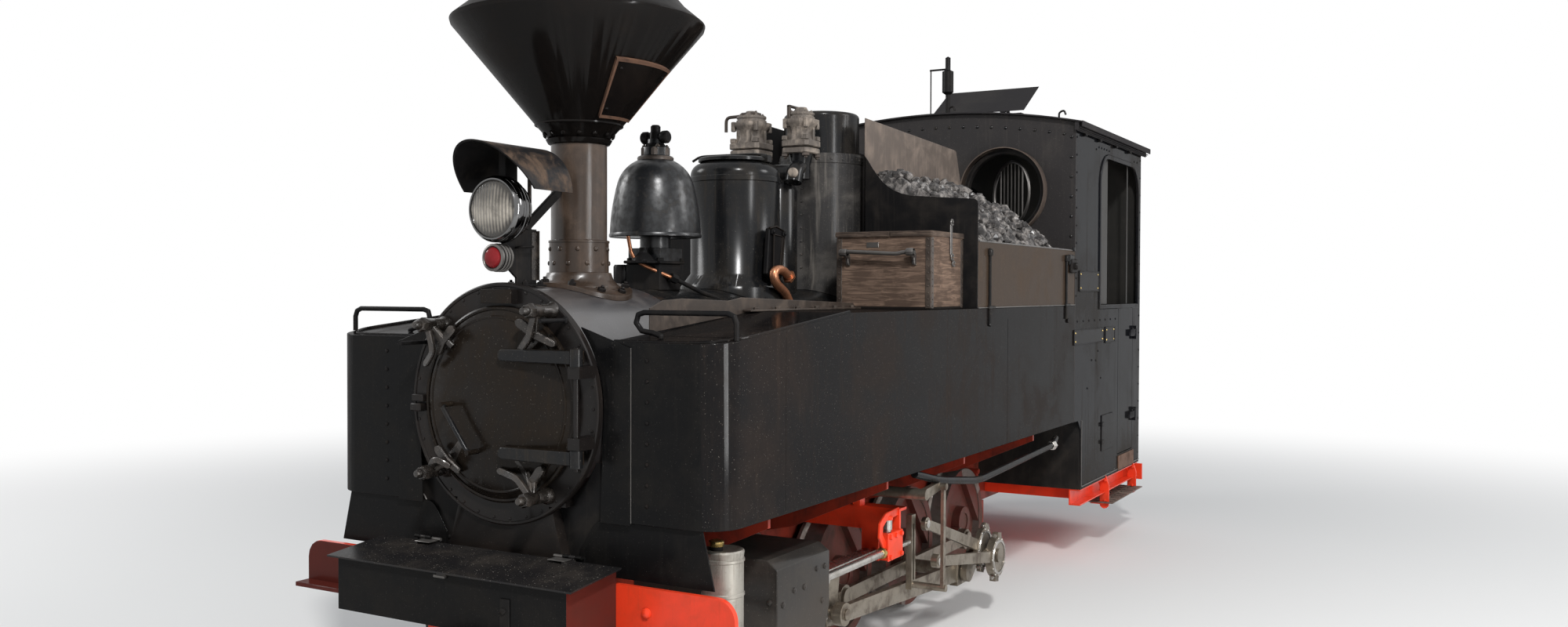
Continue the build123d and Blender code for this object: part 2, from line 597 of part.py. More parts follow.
def cab_side(side):
    y0, y1 = sy(side, TANK_Y1 - WALL, TANK_Y1)
    x0, x1 = CAB_X0 + WALL, CAB_X1 - WALL
    top = under_roof(TANK_Y1) - 1
    hinge = (DOOR_X0 - 12, side * (TANK_Y1 + 14))
    with BuildPart() as p:
        plate("y", y0, y1, [(x1, top), (x1, TANK_Z0), (-1330, TANK_Z0), (CAB_STEP_X, 806), (CAB_STEP_X, CAB_Z0),
                            (x0, CAB_Z0), (x0, top)])
        plate("y", y0 - 30, y1 + 30, [(WIN_X0, WIN_Z0), (WIN_X0, WIN_Z1), (WIN_X1, WIN_Z1), (WIN_X1, WIN_Z0)],
              Mode.SUBTRACT, fillet_at=((1, WIN_CORNER), (2, WIN_CORNER)))
        block(DOOR_X0, DOOR_X1, y0 - 30, y1 + 30, DOOR_Z0, WIN_Z0 + 5, Mode.SUBTRACT)
        y2, y3 = sy(side, TANK_Y1, TANK_Y1 + 24)
        for z in DOOR_HINGES_Z:       # ears above and below each strap, on one pin
            for z0, z1 in ((z - 45, z - 26), (z + 26, z + 45)):
                block(DOOR_X0 - 30, DOOR_X0 - 2, y2, y3, z0, z1)
                rod("z", hinge, z0, z1, KNUCKLE_R)
            rod("z", hinge, z - 45, z + 45, 4)
    return p.part


def cab_door(side):
    y0, y1 = sy(side, TANK_Y1 - WALL, TANK_Y1)
    y2, y3 = sy(side, TANK_Y1, TANK_Y1 + 18)
    y4, y5 = sy(side, TANK_Y1 + 4, TANK_Y1 + 18)
    hinge = (DOOR_X0 - 12, side * (TANK_Y1 + 14))
    with BuildPart() as p:
        block(DOOR_X0 + 6, DOOR_X1 - 6, y0, y1, DOOR_Z0 + 6, DOOR_Z1 - 4)
        for z in DOOR_HINGES_Z:
            block(DOOR_X0 - 12, DOOR_X0 + 120, y4, y5, z - 22, z + 22)
            block(DOOR_X0 + 6, DOOR_X0 + 120, y2, y3, z - 22, z + 22)
            rod("z", hinge, z - 25, z + 25, KNUCKLE_R)
            rod("z", hinge, z - 30, z + 30, 4.3, Mode.SUBTRACT)
    return p.part


def cab_floor():
    half, x0 = TANK_Y1 - WALL - EASY, CAB_X0 + WALL
    r = BOILER_R + EASY
    with BuildPart() as p:
        block(x0, CAB_STEP_X, -half, half, CAB_Z0, CAB_Z0 + FLOOR_T)
        block(CAB_STEP_X, CAB_STEP_X + 6, -half, half, CAB_Z0, TANK_Z0)
        block(CAB_STEP_X, CAB_X1 - WALL, -half, half, TANK_Z0 - 6, TANK_Z0)
        block(FIREBOX_X0 - 100, CAB_X1, -r, r, 650, 900, Mode.SUBTRACT)
        for side, tag in SIDES:       # channel sole bars and their arms to the frame
            top, bottom = CAB_Z0 - SOLE_T, SOLE_Z0 + SOLE_T
            bar_x = (TAIL_X + 0.3, CAB_STEP_X)
            block(*bar_x, *sy(side, SOLE_Y0, SOLE_Y1), top, CAB_Z0)
            block(*bar_x, *sy(side, SOLE_Y0, SOLE_Y0 + SOLE_T), bottom, top)
            block(*bar_x, *sy(side, SOLE_Y0, SOLE_Y1), SOLE_Z0, bottom)
            for x in (-1500, -2650):
                block(x - 12, x + 12, *sy(side, FRAME_Y1, SOLE_Y0), 380, 440)
    return p.part


def roof():
    x0, x1, half = COAMING_X0, COAMING_X1, COAMING_HALF
    pin = (HATCH_X, HATCH_PIN_Z)
    with BuildPart() as p:
        with BuildSketch(plane_of("x", ROOF_X0)) as sk:
            with BuildLine():
                RadiusArc((EAVE_Y, EAVE_Z), (-EAVE_Y, EAVE_Z), -ROOF_R)
                Line((-EAVE_Y, EAVE_Z), (-EAVE_Y, EAVE_Z - ROOF_T))
                RadiusArc((-EAVE_Y, EAVE_Z - ROOF_T), (EAVE_Y, EAVE_Z - ROOF_T), ROOF_R)
                Line((EAVE_Y, EAVE_Z - ROOF_T), (EAVE_Y, EAVE_Z))
            make_face()
        extrude(sk.sketch, amount=ROOF_X1 - ROOF_X0)
        block(x0, x1, -half, half, RIDGE_Z - ROOF_T - 10, COAMING_Z)
        t = COAMING_T
        block(x0 + t, x1 - t, t - half, half - t, RIDGE_Z - 60, COAMING_Z + 10, Mode.SUBTRACT)
        rod("x", (0, ROOF_CZ), x0 - 10, x1 + 10, ROOF_R - ROOF_T, Mode.SUBTRACT)
        for side, tag in SIDES:       # gutter angles and the hatch's hinge ears
            block(ROOF_X0 + 10, ROOF_X1 - 10, *sy(side, TANK_Y1 + 0.5, TANK_Y1 + 24), 2556, EAVE_Z - 1)
            block(x1, HATCH_X, *sy(side, 203, 225), COAMING_Z - 20, HATCH_PIN_Z - 5)
            rod("y", pin, *sy(side, 203, 225), 7)
            rod("y", pin, *sy(side, 160, 225), 3)
    return p.part


def roof_hatch():
    a = math.radians(HATCH_DEG)
    dx, dz = -math.cos(a), math.sin(a)
    t = HATCH_T / 2
    near, far = (HATCH_X, HATCH_PIN_Z), (HATCH_X + HATCH_L * dx, HATCH_PIN_Z + HATCH_L * dz)
    with BuildPart() as p:
        rod_bar(near[0] + 8 * dx, near[1] + 8 * dz, *far, -HATCH_HALF, HATCH_HALF, 2 * t, 2 * t)
        for side, tag in SIDES:
            y0, y1 = sy(side, 165, 200)
            rod_bar(*near, near[0] + 60 * dx, near[1] + 60 * dz, y0, y1, 2 * t, 2 * t)
            rod("y", near, y0, y1, 7)
            rod("y", near, y0 - 1, y1 + 1, 3 + 0.3, Mode.SUBTRACT)
    return p.part


def whistle():
    with BuildPart() as p:
        turned(WHISTLE_X, 0, [(0, RIDGE_Z), (45, RIDGE_Z), (45, RIDGE_Z + 12), (14, RIDGE_Z + 16), (14, 2850),
                              (35, 2865), (35, 2994), (16, 3004), (16, 3080), (0, 3089)])
        bar((WHISTLE_X, 0, 3010), (WHISTLE_X, -120, 3010), 6)
        bar((WHISTLE_X, -114, 3010), (WHISTLE_X, -114, RIDGE_Z - 1), 4)
    return p.part


# Cylinders and valve gear
def cylinders():
    casing = [(440, 150), (440, 660), (500, 702), (800, 702), (842, 672), (842, 470), (800, 250), (740, 150)]
    with BuildPart() as p:
        for side, tag in SIDES:
            plate("x", CYL_X0, CYL_X1, [(side * y, z) for y, z in casing])
            block(1850, CYL_X1, *sy(side, FRAME_Y1, 440), 380, 640)
            at = (side * CYL_Y, AXLE_Z)
            rod("x", at, CYL_X0 - 40, CYL_X0, 120)
            rod("x", at, CYL_X1, CYL_X1 + 40, 130)
            rod("x", at, CYL_X0 - 70, CYL_X1 + 12, 25 + RUN, Mode.SUBTRACT)
            rod("x", (side * SPINDLE_Y, SPINDLE_Z1), GLAND_X, CYL_X0, 40)
    return p.part


def spindle(side, r, mode=Mode.ADD):
    bar((LINK_X + 14, side * SPINDLE_Y, SPINDLE_Z0), (GLAND_X - 0.3, side * SPINDLE_Y, SPINDLE_Z1), r, mode)


def motion_brackets():
    hanger = [(FRAME_Y1, 590), (FRAME_Y1, FRAME_Z1), (754, FRAME_Z1), (754, 590), (655, 590), (655, 455),
              (575, 455), (575, 590)]
    bearing_y = (540, 575)
    with BuildPart() as p:
        for side, tag in SIDES:
            block(BRACKET_X1, CYL_X0 - 0.3, *sy(side, *SLIDE_Y), SLIDE_Z0, SLIDE_Z1)
            plate("x", BRACKET_X0, BRACKET_X1, [(side * y, z) for y, z in hanger])
            block(BRACKET_X0 - 60, BRACKET_X0, *sy(side, FRAME_Y1, 754), FRAME_Z1 - 12, FRAME_Z1)
            block(BRACKET_X0, 1090, *sy(side, 718, 754), 490, 600)
            spindle(side, SPINDLE_R + 0.3, Mode.SUBTRACT)
            block(SHAFT_X - 25, SHAFT_X + 25, *sy(side, *bearing_y), FRAME_Z1, SHAFT_Z + 32)
        rod("y", (SHAFT_X, SHAFT_Z), -600, 600, SHAFT_R + 0.3, Mode.SUBTRACT)
    return p.part


def valve_links():
    """Straight slotted links with spindles, lifting links and the reversing shaft."""
    slot_z = (LINK_Z0 + 40, LINK_Z1 - 40)
    lift_x, lift_z, arm_z = LINK_X, LINK_Z0 + 20, 775
    with BuildPart() as p:
        for side, tag in SIDES:
            block(LINK_X - 21, LINK_X + 21, *sy(side, *LINK_Y), LINK_Z0, LINK_Z1)
            block(LINK_X - 8, LINK_X + 8, *sy(side, LINK_Y[0] - 22, LINK_Y[1] + 10), *slot_z, Mode.SUBTRACT)
            spindle(side, SPINDLE_R)
            rod("y", (lift_x, lift_z), side * LINK_Y[1], side * 905, 15)
            rod("y", (lift_x, arm_z), side * 840, side * 905, 15)
            block(lift_x - 13, lift_x + 13, *sy(side, 882, 896), lift_z, arm_z)
            rod_bar(lift_x, arm_z, SHAFT_X, SHAFT_Z, *sy(side, 850, 874), 34, 46)
        rod("y", (SHAFT_X, SHAFT_Z), -880, 880, SHAFT_R)
    return p.part


# Wheels and rods
def wheel_profile(side):
    """Tread, flange, web and hub as (radius, Y)."""
    y_in, y_out = side * WHEEL_Y0, side * WHEEL_Y1
    web, hub = y_out - side * 40, y_out + side * 6
    hole = AXLE_R - 1
    return [(hole, y_in), (WHEEL_R + FLANGE, y_in), (WHEEL_R + FLANGE, y_in + side * 16),
            (WHEEL_R + 3, y_in + side * 26), (WHEEL_R - 1, y_out), (255, y_out), (255, web), (85, web), (85, hub),
            (hole, hub)]


def balance_weight(x, side):
    r, a, spread = 254, CRANK_DEG[side] + 180, 48
    with BuildSketch(Plane(origin=(x, side * (WHEEL_Y1 - 45), AXLE_Z), x_dir=(1, 0, 0), z_dir=(0, -1, 0))) as sk:
        with BuildLine():
            u = [(r * math.cos(math.radians(a + t)), r * math.sin(math.radians(a + t))) for t in (-spread, 0, spread)]
            ThreePointArc(*u)
            Line(u[2], u[0])
        make_face()
    extrude(sk.sketch, amount=-side * 40)


def return_crank(side):
    """Crank from the driven pin back to the axle's line, with its two sheaves."""
    x = AXLES[DRIVEN]
    pin, y = crank_pin(side), sy(side, *RETURN_CRANK_Y)
    rod_bar(*pin, x, AXLE_Z, *y, 96, 110)
    rod("y", pin, *y, 48)
    rod("y", (x, AXLE_Z), *sy(side, RETURN_CRANK_Y[0], ECCENTRIC_Y[0][0] - 4), 60)
    for i, y_pair in enumerate(ECCENTRIC_Y):
        rod("y", sheave(side, i), *sy(side, *y_pair), SHEAVE_R)
    rod("y", (x, AXLE_Z), *sy(side, 760, 866), 34)


def wheelset(n):
    x = AXLES[n]
    with BuildPart() as p:
        rod("y", (x, AXLE_Z), -WHEEL_Y1, WHEEL_Y1, AXLE_R)
        for side, tag in SIDES:
            with BuildSketch(Plane(origin=(x, 0, AXLE_Z), x_dir=(1, 0, 0), z_dir=(0, 0, 1))) as sk:
                with BuildLine():
                    Polyline(*wheel_profile(side), close=True)
                make_face()
            revolve(sk.sketch, Axis((x, 0, AXLE_Z), (0, 1, 0)), 360)
            pin = crank_pin(side, n)
            rod("y", pin, *sy(side, WHEEL_Y0 + 10, WHEEL_Y1 + 14), 58)
            if n == DRIVEN:
                rod("y", pin, *sy(side, WHEEL_Y1 + 10, RETURN_CRANK_Y[0]), PIN_R)
                return_crank(side)
            else:
                rod("y", pin, *sy(side, WHEEL_Y1 + 10, COUPLING_Y[1] + 8), PIN_R)
                rod("y", pin, *sy(side, COUPLING_Y[1] + 1, COUPLING_Y[1] + 12), 42)
            balance_weight(x, side)
    return p.part


def coupling_rod(side):
    y0, y1 = sy(side, *COUPLING_Y)
    pins = [crank_pin(side, n) for n in AXLES]
    with BuildPart() as p:
        for pin in pins:
            rod("y", pin, y0, y1, 56)
        rod_bar(*pins[0], *pins[-1], y0 + 6, y1 - 6, 66, 66)
        for pin in pins:
            rod("y", pin, y0 - 1, y1 + 1, PIN_R + RUN, Mode.SUBTRACT)
    return p.part


def connecting_rod(side):
    y0, y1 = sy(side, *CONROD_Y)
    big, small = crank_pin(side), (crosshead_x(side), AXLE_Z)
    with BuildPart() as p:
        rod_bar(*big, *small, y0 + 6, y1 - 6, 92, 66)
        block(big[0] - 66, big[0] + 66, y0, y1, big[1] - 62, big[1] + 62)
        rod("y", small, y0, y1, 48)
        rod("y", small, *sy(side, CONROD_Y[1] - 16, CONROD_Y[1] + 10), 24)
        rod("y", big, y0 - 1, y1 + 1, PIN_R + RUN, Mode.SUBTRACT)
    return p.part


def eccentric_rod(side, i):
    """Split strap round the sheave, and the flat rod to the link's end."""
    ex, ez = sheave(side, i)
    fx, fz = 740, (592, 432)[i]
    ya, yb = sy(side, *ECCENTRIC_Y[i])
    d = math.hypot(fx - ex, fz - ez)
    ux, uz = (fx - ex) / d, (fz - ez) / d
    with BuildPart() as p:
        rod("y", (ex, ez), ya + 3, yb - 3, STRAP_R)
        rod_bar(ex + ux * 85, ez + uz * 85, fx, fz, ya + 8, yb - 8, 54, 44)
        rod("y", (fx, fz), ya + 5, yb - 5, 30)
        for s in (1, -1):             # bolt lugs where the strap is split
            mx, mz = ex - s * uz * (STRAP_R + 2), ez + s * ux * (STRAP_R + 2)
            rod_bar(mx - ux * 24, mz - uz * 24, mx + ux * 24, mz + uz * 24, ya + 5, yb - 5, 40, 40)
        rod("y", (ex, ez), ya - 1, yb + 1, SHEAVE_R + RUN, Mode.SUBTRACT)
    return p.part


def crosshead(side):
    x = crosshead_x(side)
    y0, y1 = sy(side, *CROSSHEAD_Y)
    top = SLIDE_Z0 - 0.3
    with BuildPart() as p:
        plate("y", y0, y1, [(x - 70, top), (x + 90, top), (x + 60, 380), (x + 45, 275), (x - 40, 262), (x - 50, 360)])
        rod("x", (side * CYL_Y, AXLE_Z), x + 40, CYL_X1 - 60, 25)
        rod("y", (x, AXLE_Z), *sy(side, CROSSHEAD_Y[1], CROSSHEAD_Y[1] + 15), 30)
    return p.part


# Brakes, springs, canister and rails
def brakes_springs():
    leaves = (190, 150, 110, 70)
    brake_x = AXLES[4] - 345
    with BuildPart() as p:
        for side, tag in SIDES:
            rod_bar(brake_x, 560, brake_x, 300, *sy(side, 318, 336), 30, 30)
            block(brake_x - 15, brake_x + 19, *sy(side, 306, 370), AXLE_Z - 70, AXLE_Z + 70)
            rod("y", (brake_x, 560), *sy(side, FRAME_Y1, 345), 16)
            for x in AXLES.values():
                for i, half in enumerate(leaves):
                    block(x - half, x + half, *sy(side, 162, 218), 520 - i * 14, 534 - i * 14)
                block(x - 24, x + 24, *sy(side, 165, 215), AXLE_Z + 120, 480)
    return p.part


def canister():
    x, y = 2410, 765
    with BuildPart() as p:
        rod("z", (x, y), 500, 775, 62)
        rod("z", (x, y), 775, 810, 26)
        block(x - 70, x + 70, y - 75, y + 75, 480, 500)
        block(x - 10, x + 10, FRAME_Y1 + 0.5, y - 75, 480, 500)
    return p.part


def handrails():
    """Swan-necked rail over the front of each tank."""
    neck = [(569, 1440), (569, 1476), (537, 1486), (492, 1492), (469, 1519), (478, 1546), (501, 1553),
            (830, 1553), (852, 1544), (861, 1522), (861, 1440)]
    slope = (TANK_Z1 - TANK_FRONT_Z) / (FRONT_X - TANK_SLOPE_X)
    tank_top = TANK_FRONT_Z + (FRONT_X - RAIL_X) * slope
    with BuildPart() as p:
        for side, tag in SIDES:
            bent_bar([(RAIL_X, side * y, z) for y, z in neck], RAIL_R)
        block(RAIL_X - 50, RAIL_X + 50, -TANK_Y1, TANK_Y1, 1400, tank_top + RAIL_R * slope + 0.1, Mode.SUBTRACT)
    return p.part


def all_nodes():
    nodes = {f.__name__: f() for f in (
        main_frame, front_beam, rear_beam, toolbox, toolbox_lid, smokebox, smokebox_door, boiler, ash_pan, chimney,
        bell, sand_dome, safety_valves, steam_dome, headlamp, lamp_hood, front_shields, coal_bunkers, coal,
        tool_chest, cab_front, spectacle_hoods, cab_rear, cab_floor, roof, roof_hatch, whistle, cylinders,
        motion_brackets, valve_links, brakes_springs, canister, handrails)}
    for n in AXLES:
        nodes["wheelset_%d" % n] = wheelset(n)
    for side, tag in SIDES:
        nodes["tank_" + tag] = tank(side)
        nodes["cab_" + tag] = cab_side(side)
        nodes["cab_door_" + tag] = cab_door(side)
        nodes["coupling_rod_" + tag] = coupling_rod(side)
        nodes["connecting_rod_" + tag] = connecting_rod(side)
        nodes["crosshead_" + tag] = crosshead(side)
        for i, place in enumerate(("inner", "outer")):
            nodes["eccentric_rod_%s_%s" % (place, tag)] = eccentric_rod(side, i)
    return nodes


os.makedirs("parts", exist_ok=True)
for name, solid in all_nodes().items():
    solid.label = name
    export_step(solid, "parts/%s.step" % name)
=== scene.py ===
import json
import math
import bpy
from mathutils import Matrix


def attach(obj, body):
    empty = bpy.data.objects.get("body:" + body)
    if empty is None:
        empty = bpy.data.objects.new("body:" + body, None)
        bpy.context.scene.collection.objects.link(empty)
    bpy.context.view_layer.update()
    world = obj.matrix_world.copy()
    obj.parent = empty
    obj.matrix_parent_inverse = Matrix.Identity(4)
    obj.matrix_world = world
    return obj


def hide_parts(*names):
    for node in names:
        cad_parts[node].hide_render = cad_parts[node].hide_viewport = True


bl_info = {
    "name": "Steam Locomotive",
    "version": (1, 0, 0),
    "blender": (4, 5, 0),
    "location": "3D View > Sidebar > Locomotive",
    "description": "Finishes a narrow-gauge tank engine on its packed CAD frame",
    "category": "Object",
}

import bmesh
import bpy
import numpy as np
from mathutils import Matrix, Vector

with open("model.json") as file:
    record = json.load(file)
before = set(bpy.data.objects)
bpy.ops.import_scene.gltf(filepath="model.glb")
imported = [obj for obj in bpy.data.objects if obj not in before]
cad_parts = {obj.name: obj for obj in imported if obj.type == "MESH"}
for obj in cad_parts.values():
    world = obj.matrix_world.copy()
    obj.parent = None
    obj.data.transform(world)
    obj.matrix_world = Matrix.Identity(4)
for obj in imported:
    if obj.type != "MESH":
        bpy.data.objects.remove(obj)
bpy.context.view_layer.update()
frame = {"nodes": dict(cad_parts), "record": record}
RECORD = frame["record"]
BODY_OF = {node: body for body, nodes in RECORD["behaviour"]["bodies"].items() for node in nodes}
SLOT_OF = {part["node"]: part["material_slot"] for part in RECORD["subparts"]}
SIDES = ((1, "left"), (-1, "right"))
X, Y, Z = (1, 0, 0), (0, 1, 0), (0, 0, 1)

# Clean-out door on the chimney's cone: from and to an angle in degrees from +X, and a height
DOOR_PATCH = (61.0, 114.0, 2.252, 2.44)

# Places that the pieces share, in metres, in the frame of the CAD model. Angles are in degrees
TANK_FACE = 2.581
RIVET_FACE = 2.5806
LAMP_Z, MARKER_Z = 1.901, 1.736
SPECTACLE_Y, SPECTACLE_Z = 0.44, 2.215
CYLINDER_Y = 0.625
SPINDLE_Y, SPINDLE_Z = 0.736, 0.523
BOILER_Z = 1.236
CHIMNEY_X = 2.195
BELL_X = 1.707
SAND_X = 1.09
VALVE_X = 0.7
DOME_X = 0.26
TANK_Y = 0.87
TANK_Z0, TANK_Z1 = 0.866, 1.545
TANK_FRONT_X, TANK_FRONT_Z, TANK_SLOPE_X = 2.58, 1.457, 1.684
CAB_X0, CAB_X1 = -2.811, -1.245
AXLE_Z = 0.322
SHEAVE_THROW, LINK_X = 0.034, 0.74
AXLE_X = (1.51, 0.755, 0.0, -0.755)
CRANK_DEG = {1: -40, -1: 50}

# The photo's camera: place in metres, yaw, pitch and roll in degrees, lens and sensor in millimetres
CAMERA_AT = (5.8395, 2.9221, 1.631)
CAMERA_TURN = (29.343, -1.108, 0.191)
CAMERA_LENS, CAMERA_SENSOR = 28.487, 36.0
BROWN_DUST = (0.16, 0.125, 0.095)


# Mesh shapes. Each gives a list of (points, faces), faces being rows of indices
def grid(points, wrap=False):
    """Quads over an array of points (rows, columns, 3); wrap joins the last column to the first."""
    rows, cols = points.shape[:2]
    i = np.arange(rows - 1)[:, None]
    j = np.arange(cols if wrap else cols - 1)[None, :]
    k = (j + 1) % cols
    quads = np.stack([i * cols + j, i * cols + k, (i + 1) * cols + k, (i + 1) * cols + j], axis=-1)
    return [(points.reshape(-1, 3), quads.reshape(-1, 4))]


def axes_of(normal):
    """Two unit vectors across each of a stack of normals."""
    n = np.atleast_2d(np.asarray(normal, float))
    n = n / np.linalg.norm(n, axis=1, keepdims=True)
    helper = np.where(np.abs(n[:, 2:3]) < 0.9, [[0.0, 0.0, 1.0]], [[1.0, 0.0, 0.0]])
    a = np.cross(helper, n)
    a /= np.linalg.norm(a, axis=1, keepdims=True)
    return a, np.cross(n, a), n


def lathe(profile, at, axis=Z, count=64, turn=0.0):
    """Each (radius, height) of the profile swept round the axis through at."""
    prof = np.asarray(profile, float)
    a, b, n = axes_of(axis)
    t = np.linspace(0, 2 * np.pi, count, endpoint=False) + turn
    ring = np.cos(t)[:, None] * a + np.sin(t)[:, None] * b
    points = np.asarray(at, float) + prof[:, None, :1] * ring[None] + prof[:, None, 1:] * n[None]
    return grid(points, wrap=True)


def tube(path, radius, count=12):
    """A circle carried along the path, square to it, with closed ends."""
    p = np.asarray(path, float)
    t = np.gradient(p, axis=0)
    t /= np.linalg.norm(t, axis=1, keepdims=True)
    ref = np.linalg.svd(p - p.mean(axis=0))[2][-1]
    a = np.cross(t, ref)
    a /= np.linalg.norm(a, axis=1, keepdims=True)
    b = np.cross(t, a)
    ang = np.linspace(0, 2 * np.pi, count, endpoint=False)
    ring = np.cos(ang)[None, :, None] * a[:, None] + np.sin(ang)[None, :, None] * b[:, None]
    body = p[:, None] + radius * ring
    ends = [np.repeat(p[i][None, None], count, axis=1) for i in (0, -1)]
    return grid(np.concatenate([ends[0], body, ends[1]]), wrap=True)


def bend(points, radius=0.03, steps=6):
    """The polyline with each corner replaced by a curve that starts and ends radius away from it."""
    p = np.asarray(points, float)
    out = [p[:1]]
    s = np.linspace(0, 1, steps)[:, None]
    for a, b, c in zip(p, p[1:], p[2:]):
        ra = min(radius, 0.45 * np.linalg.norm(b - a))
        rc = min(radius, 0.45 * np.linalg.norm(c - b))
        q0 = b + (a - b) / np.linalg.norm(a - b) * ra
        q1 = b + (c - b) / np.linalg.norm(c - b) * rc
        out.append((1 - s) ** 2 * q0 + 2 * s * (1 - s) * b + s ** 2 * q1)
    out.append(p[-1:])
    return np.concatenate(out)


def forged(path, width, thick, up=X, chamfer=0.2):
    """A flat bar along the path: a chamfered rectangle, width across it, thick along up, with round ends."""
    p = np.asarray(path, float)
    w = np.broadcast_to(np.asarray(width, float), len(p))
    t = np.gradient(p, axis=0)
    t /= np.linalg.norm(t, axis=1, keepdims=True)
    out, scale = np.sin(np.radians([80, 60, 30])), np.cos(np.radians([80, 60, 30]))
    head = p[:1] - t[:1] * (out * w[0] / 2)[:, None]
    tail = p[-1:] + t[-1:] * (out[::-1] * w[-1] / 2)[:, None]
    p = np.concatenate([head, p, tail])
    t = np.concatenate([np.repeat(t[:1], 3, 0), t, np.repeat(t[-1:], 3, 0)])
    w = np.concatenate([scale * w[0], w, scale[::-1] * w[-1]]) / 2
    side = np.cross(up, t)
    side /= np.linalg.norm(side, axis=1, keepdims=True)
    lift = np.cross(t, side)
    c, h = thick * chamfer, thick / 2
    cut = np.minimum(c * np.array([1, 0, 0, 1, 1, 0, 0, 1])[None], w[:, None] * 0.6)
    across = np.array([1, 1, 1, 1, -1, -1, -1, -1])[None] * (w[:, None] - cut)
    high = np.array([h, h - c, c - h, -h, -h, c - h, h - c, h])[None]
    body = p[:, None] + across[..., None] * side[:, None] + high[..., None] * lift[:, None]
    ends = [np.repeat(body[i].mean(axis=0)[None, None], 8, axis=1) for i in (0, -1)]
    return grid(np.concatenate([ends[0], body, ends[1]]), wrap=True)


def inset(outline, amount):
    """The closed outline moved inwards by amount, along the mitre at each corner."""
    p = np.asarray(outline, float)
    area = 0.5 * np.sum(p[:, 0] * np.roll(p[:, 1], -1) - np.roll(p[:, 0], -1) * p[:, 1])
    e = np.roll(p, -1, axis=0) - p
    e /= np.linalg.norm(e, axis=1, keepdims=True)
    n = np.stack([-e[:, 1], e[:, 0]], axis=1) * np.sign(area)
    m = n + np.roll(n, 1, axis=0)
    m /= np.maximum(np.sum(m * n, axis=1, keepdims=True), 0.2)
    return p + m * amount


def slab(outline, normal, a, b, chamfer=0.0):
    """Plate between a and b along x, y or z. The outline is given in the other two, in x, y, z order."""
    p = np.asarray(outline, float)
    small = inset(p, chamfer) if chamfer else p
    levels = [(small, a), (p, a + chamfer), (p, b - chamfer), (small, b)] if chamfer else [(p, a), (p, b)]
    col = "xyz".index(normal)
    rest = [c for c in range(3) if c != col]
    points = np.empty((len(levels), len(p), 3))
    for row, (q, h) in enumerate(levels):
        points[row, :, rest[0]], points[row, :, rest[1]], points[row, :, col] = q[:, 0], q[:, 1], h
    sides = grid(points, wrap=True)
    count = len(p)
    caps = np.array([np.arange(count), np.arange(count) + (len(levels) - 1) * count])
    return sides + [(points.reshape(-1, 3), caps)]


def box(x0, x1, y0, y1, z0, z1, chamfer=0.002):
    """Block with every edge chamfered."""
    x0, x1 = sorted((x0, x1))
    y0, y1 = sorted((y0, y1))
    c = chamfer
    corners = [(x0 + c, y0), (x1 - c, y0), (x1, y0 + c), (x1, y1 - c), (x1 - c, y1), (x0 + c, y1),
               (x0, y1 - c), (x0, y0 + c)]
    return slab(corners, "z", min(z0, z1), max(z0, z1), c)


def block(x, y, a, b, z0, z1, chamfer=0.002):
    """Box centred on (x, y), reaching a and b to each side of it."""
    return box(x - a, x + a, y - b, y + b, z0, z1, chamfer)


def band(r0, r1, z0, z1, edge, at, axis=Z, count=64):
    """Raised band round an axis, from radius r0 out to r1, its two flanks edge wide."""
    return lathe([(r0, z0), (r1, z0 + edge), (r1, z1 - edge), (r0, z1)], at, axis, count)


def rim_strips(x0, x1, z0, z1, w, h):
    """Corners of the four strips along a rectangle's edges: top, bottom and the two sides."""
    return (x0, x1, z1 - h, z1), (x0, x1, z0, z0 + h), (x0, x0 + w, z0, z1), (x1 - w, x1, z0, z1)


def copies(shape, at, normal):
    """One shape, made about +Z at the origin, set at each point with its Z along the normal."""
    at = np.asarray(at, float).reshape(-1, 3)
    normal = np.broadcast_to(np.asarray(normal, float), at.shape)
    a, b, n = axes_of(normal)
    out = []
    for points, faces in shape:
        moved = (at[:, None] + points[None, :, :1] * a[:, None] + points[None, :, 1:2] * b[:, None]
                 + points[None, :, 2:] * n[:, None])
        rows = faces[None] + (np.arange(len(at)) * len(points))[:, None, None]
        out.append((moved.reshape(-1, 3), rows.reshape(-1, faces.shape[1])))
    return out


def rivets(at, normal, r=0.008, count=10):
    """Round heads: a flattened dome of three rings."""
    return copies(lathe([(r, 0), (r * 0.88, r * 0.38), (r * 0.5, r * 0.62), (0, r * 0.7)], (0, 0, 0),
                        count=count), at, normal)


def hex_heads(at, normal, r=0.012, h=0.009):
    """Six-sided heads with a small bevel at the top."""
    return copies(lathe([(r, 0), (r, h * 0.8), (r * 0.86, h), (0, h)], (0, 0, 0), count=6), at, normal)


def nuts(at, normal, r=0.014, stud=0.006):
    """Hexagon nuts on studs that stand a little proud."""
    h = r * 0.85
    return (copies(lathe([(r, 0), (r, h * 0.85), (r * 0.86, h), (stud, h)], (0, 0, 0), count=6), at, normal)
            + copies(lathe([(stud, h * 0.9), (stud, h * 1.5), (stud * 0.7, h * 1.7), (0, h * 1.7)], (0, 0, 0),
                           count=8), at, normal))


def line_points(p, q, count):
    return np.linspace(np.asarray(p, float), np.asarray(q, float), count)


def circle_points(at, axis, radius, count, turn=0.0, spread=360.0):
    a, b, _ = axes_of(axis)
    t = np.radians(turn) + np.radians(np.linspace(0, spread, count, endpoint=spread < 360))
    return np.asarray(at, float) + radius * (np.cos(t)[:, None] * a + np.sin(t)[:, None] * b)


# Turning shapes into pieces
def link(name, data):
    obj = bpy.data.objects.new(name, data)
    bpy.context.scene.collection.objects.link(obj)
    return obj


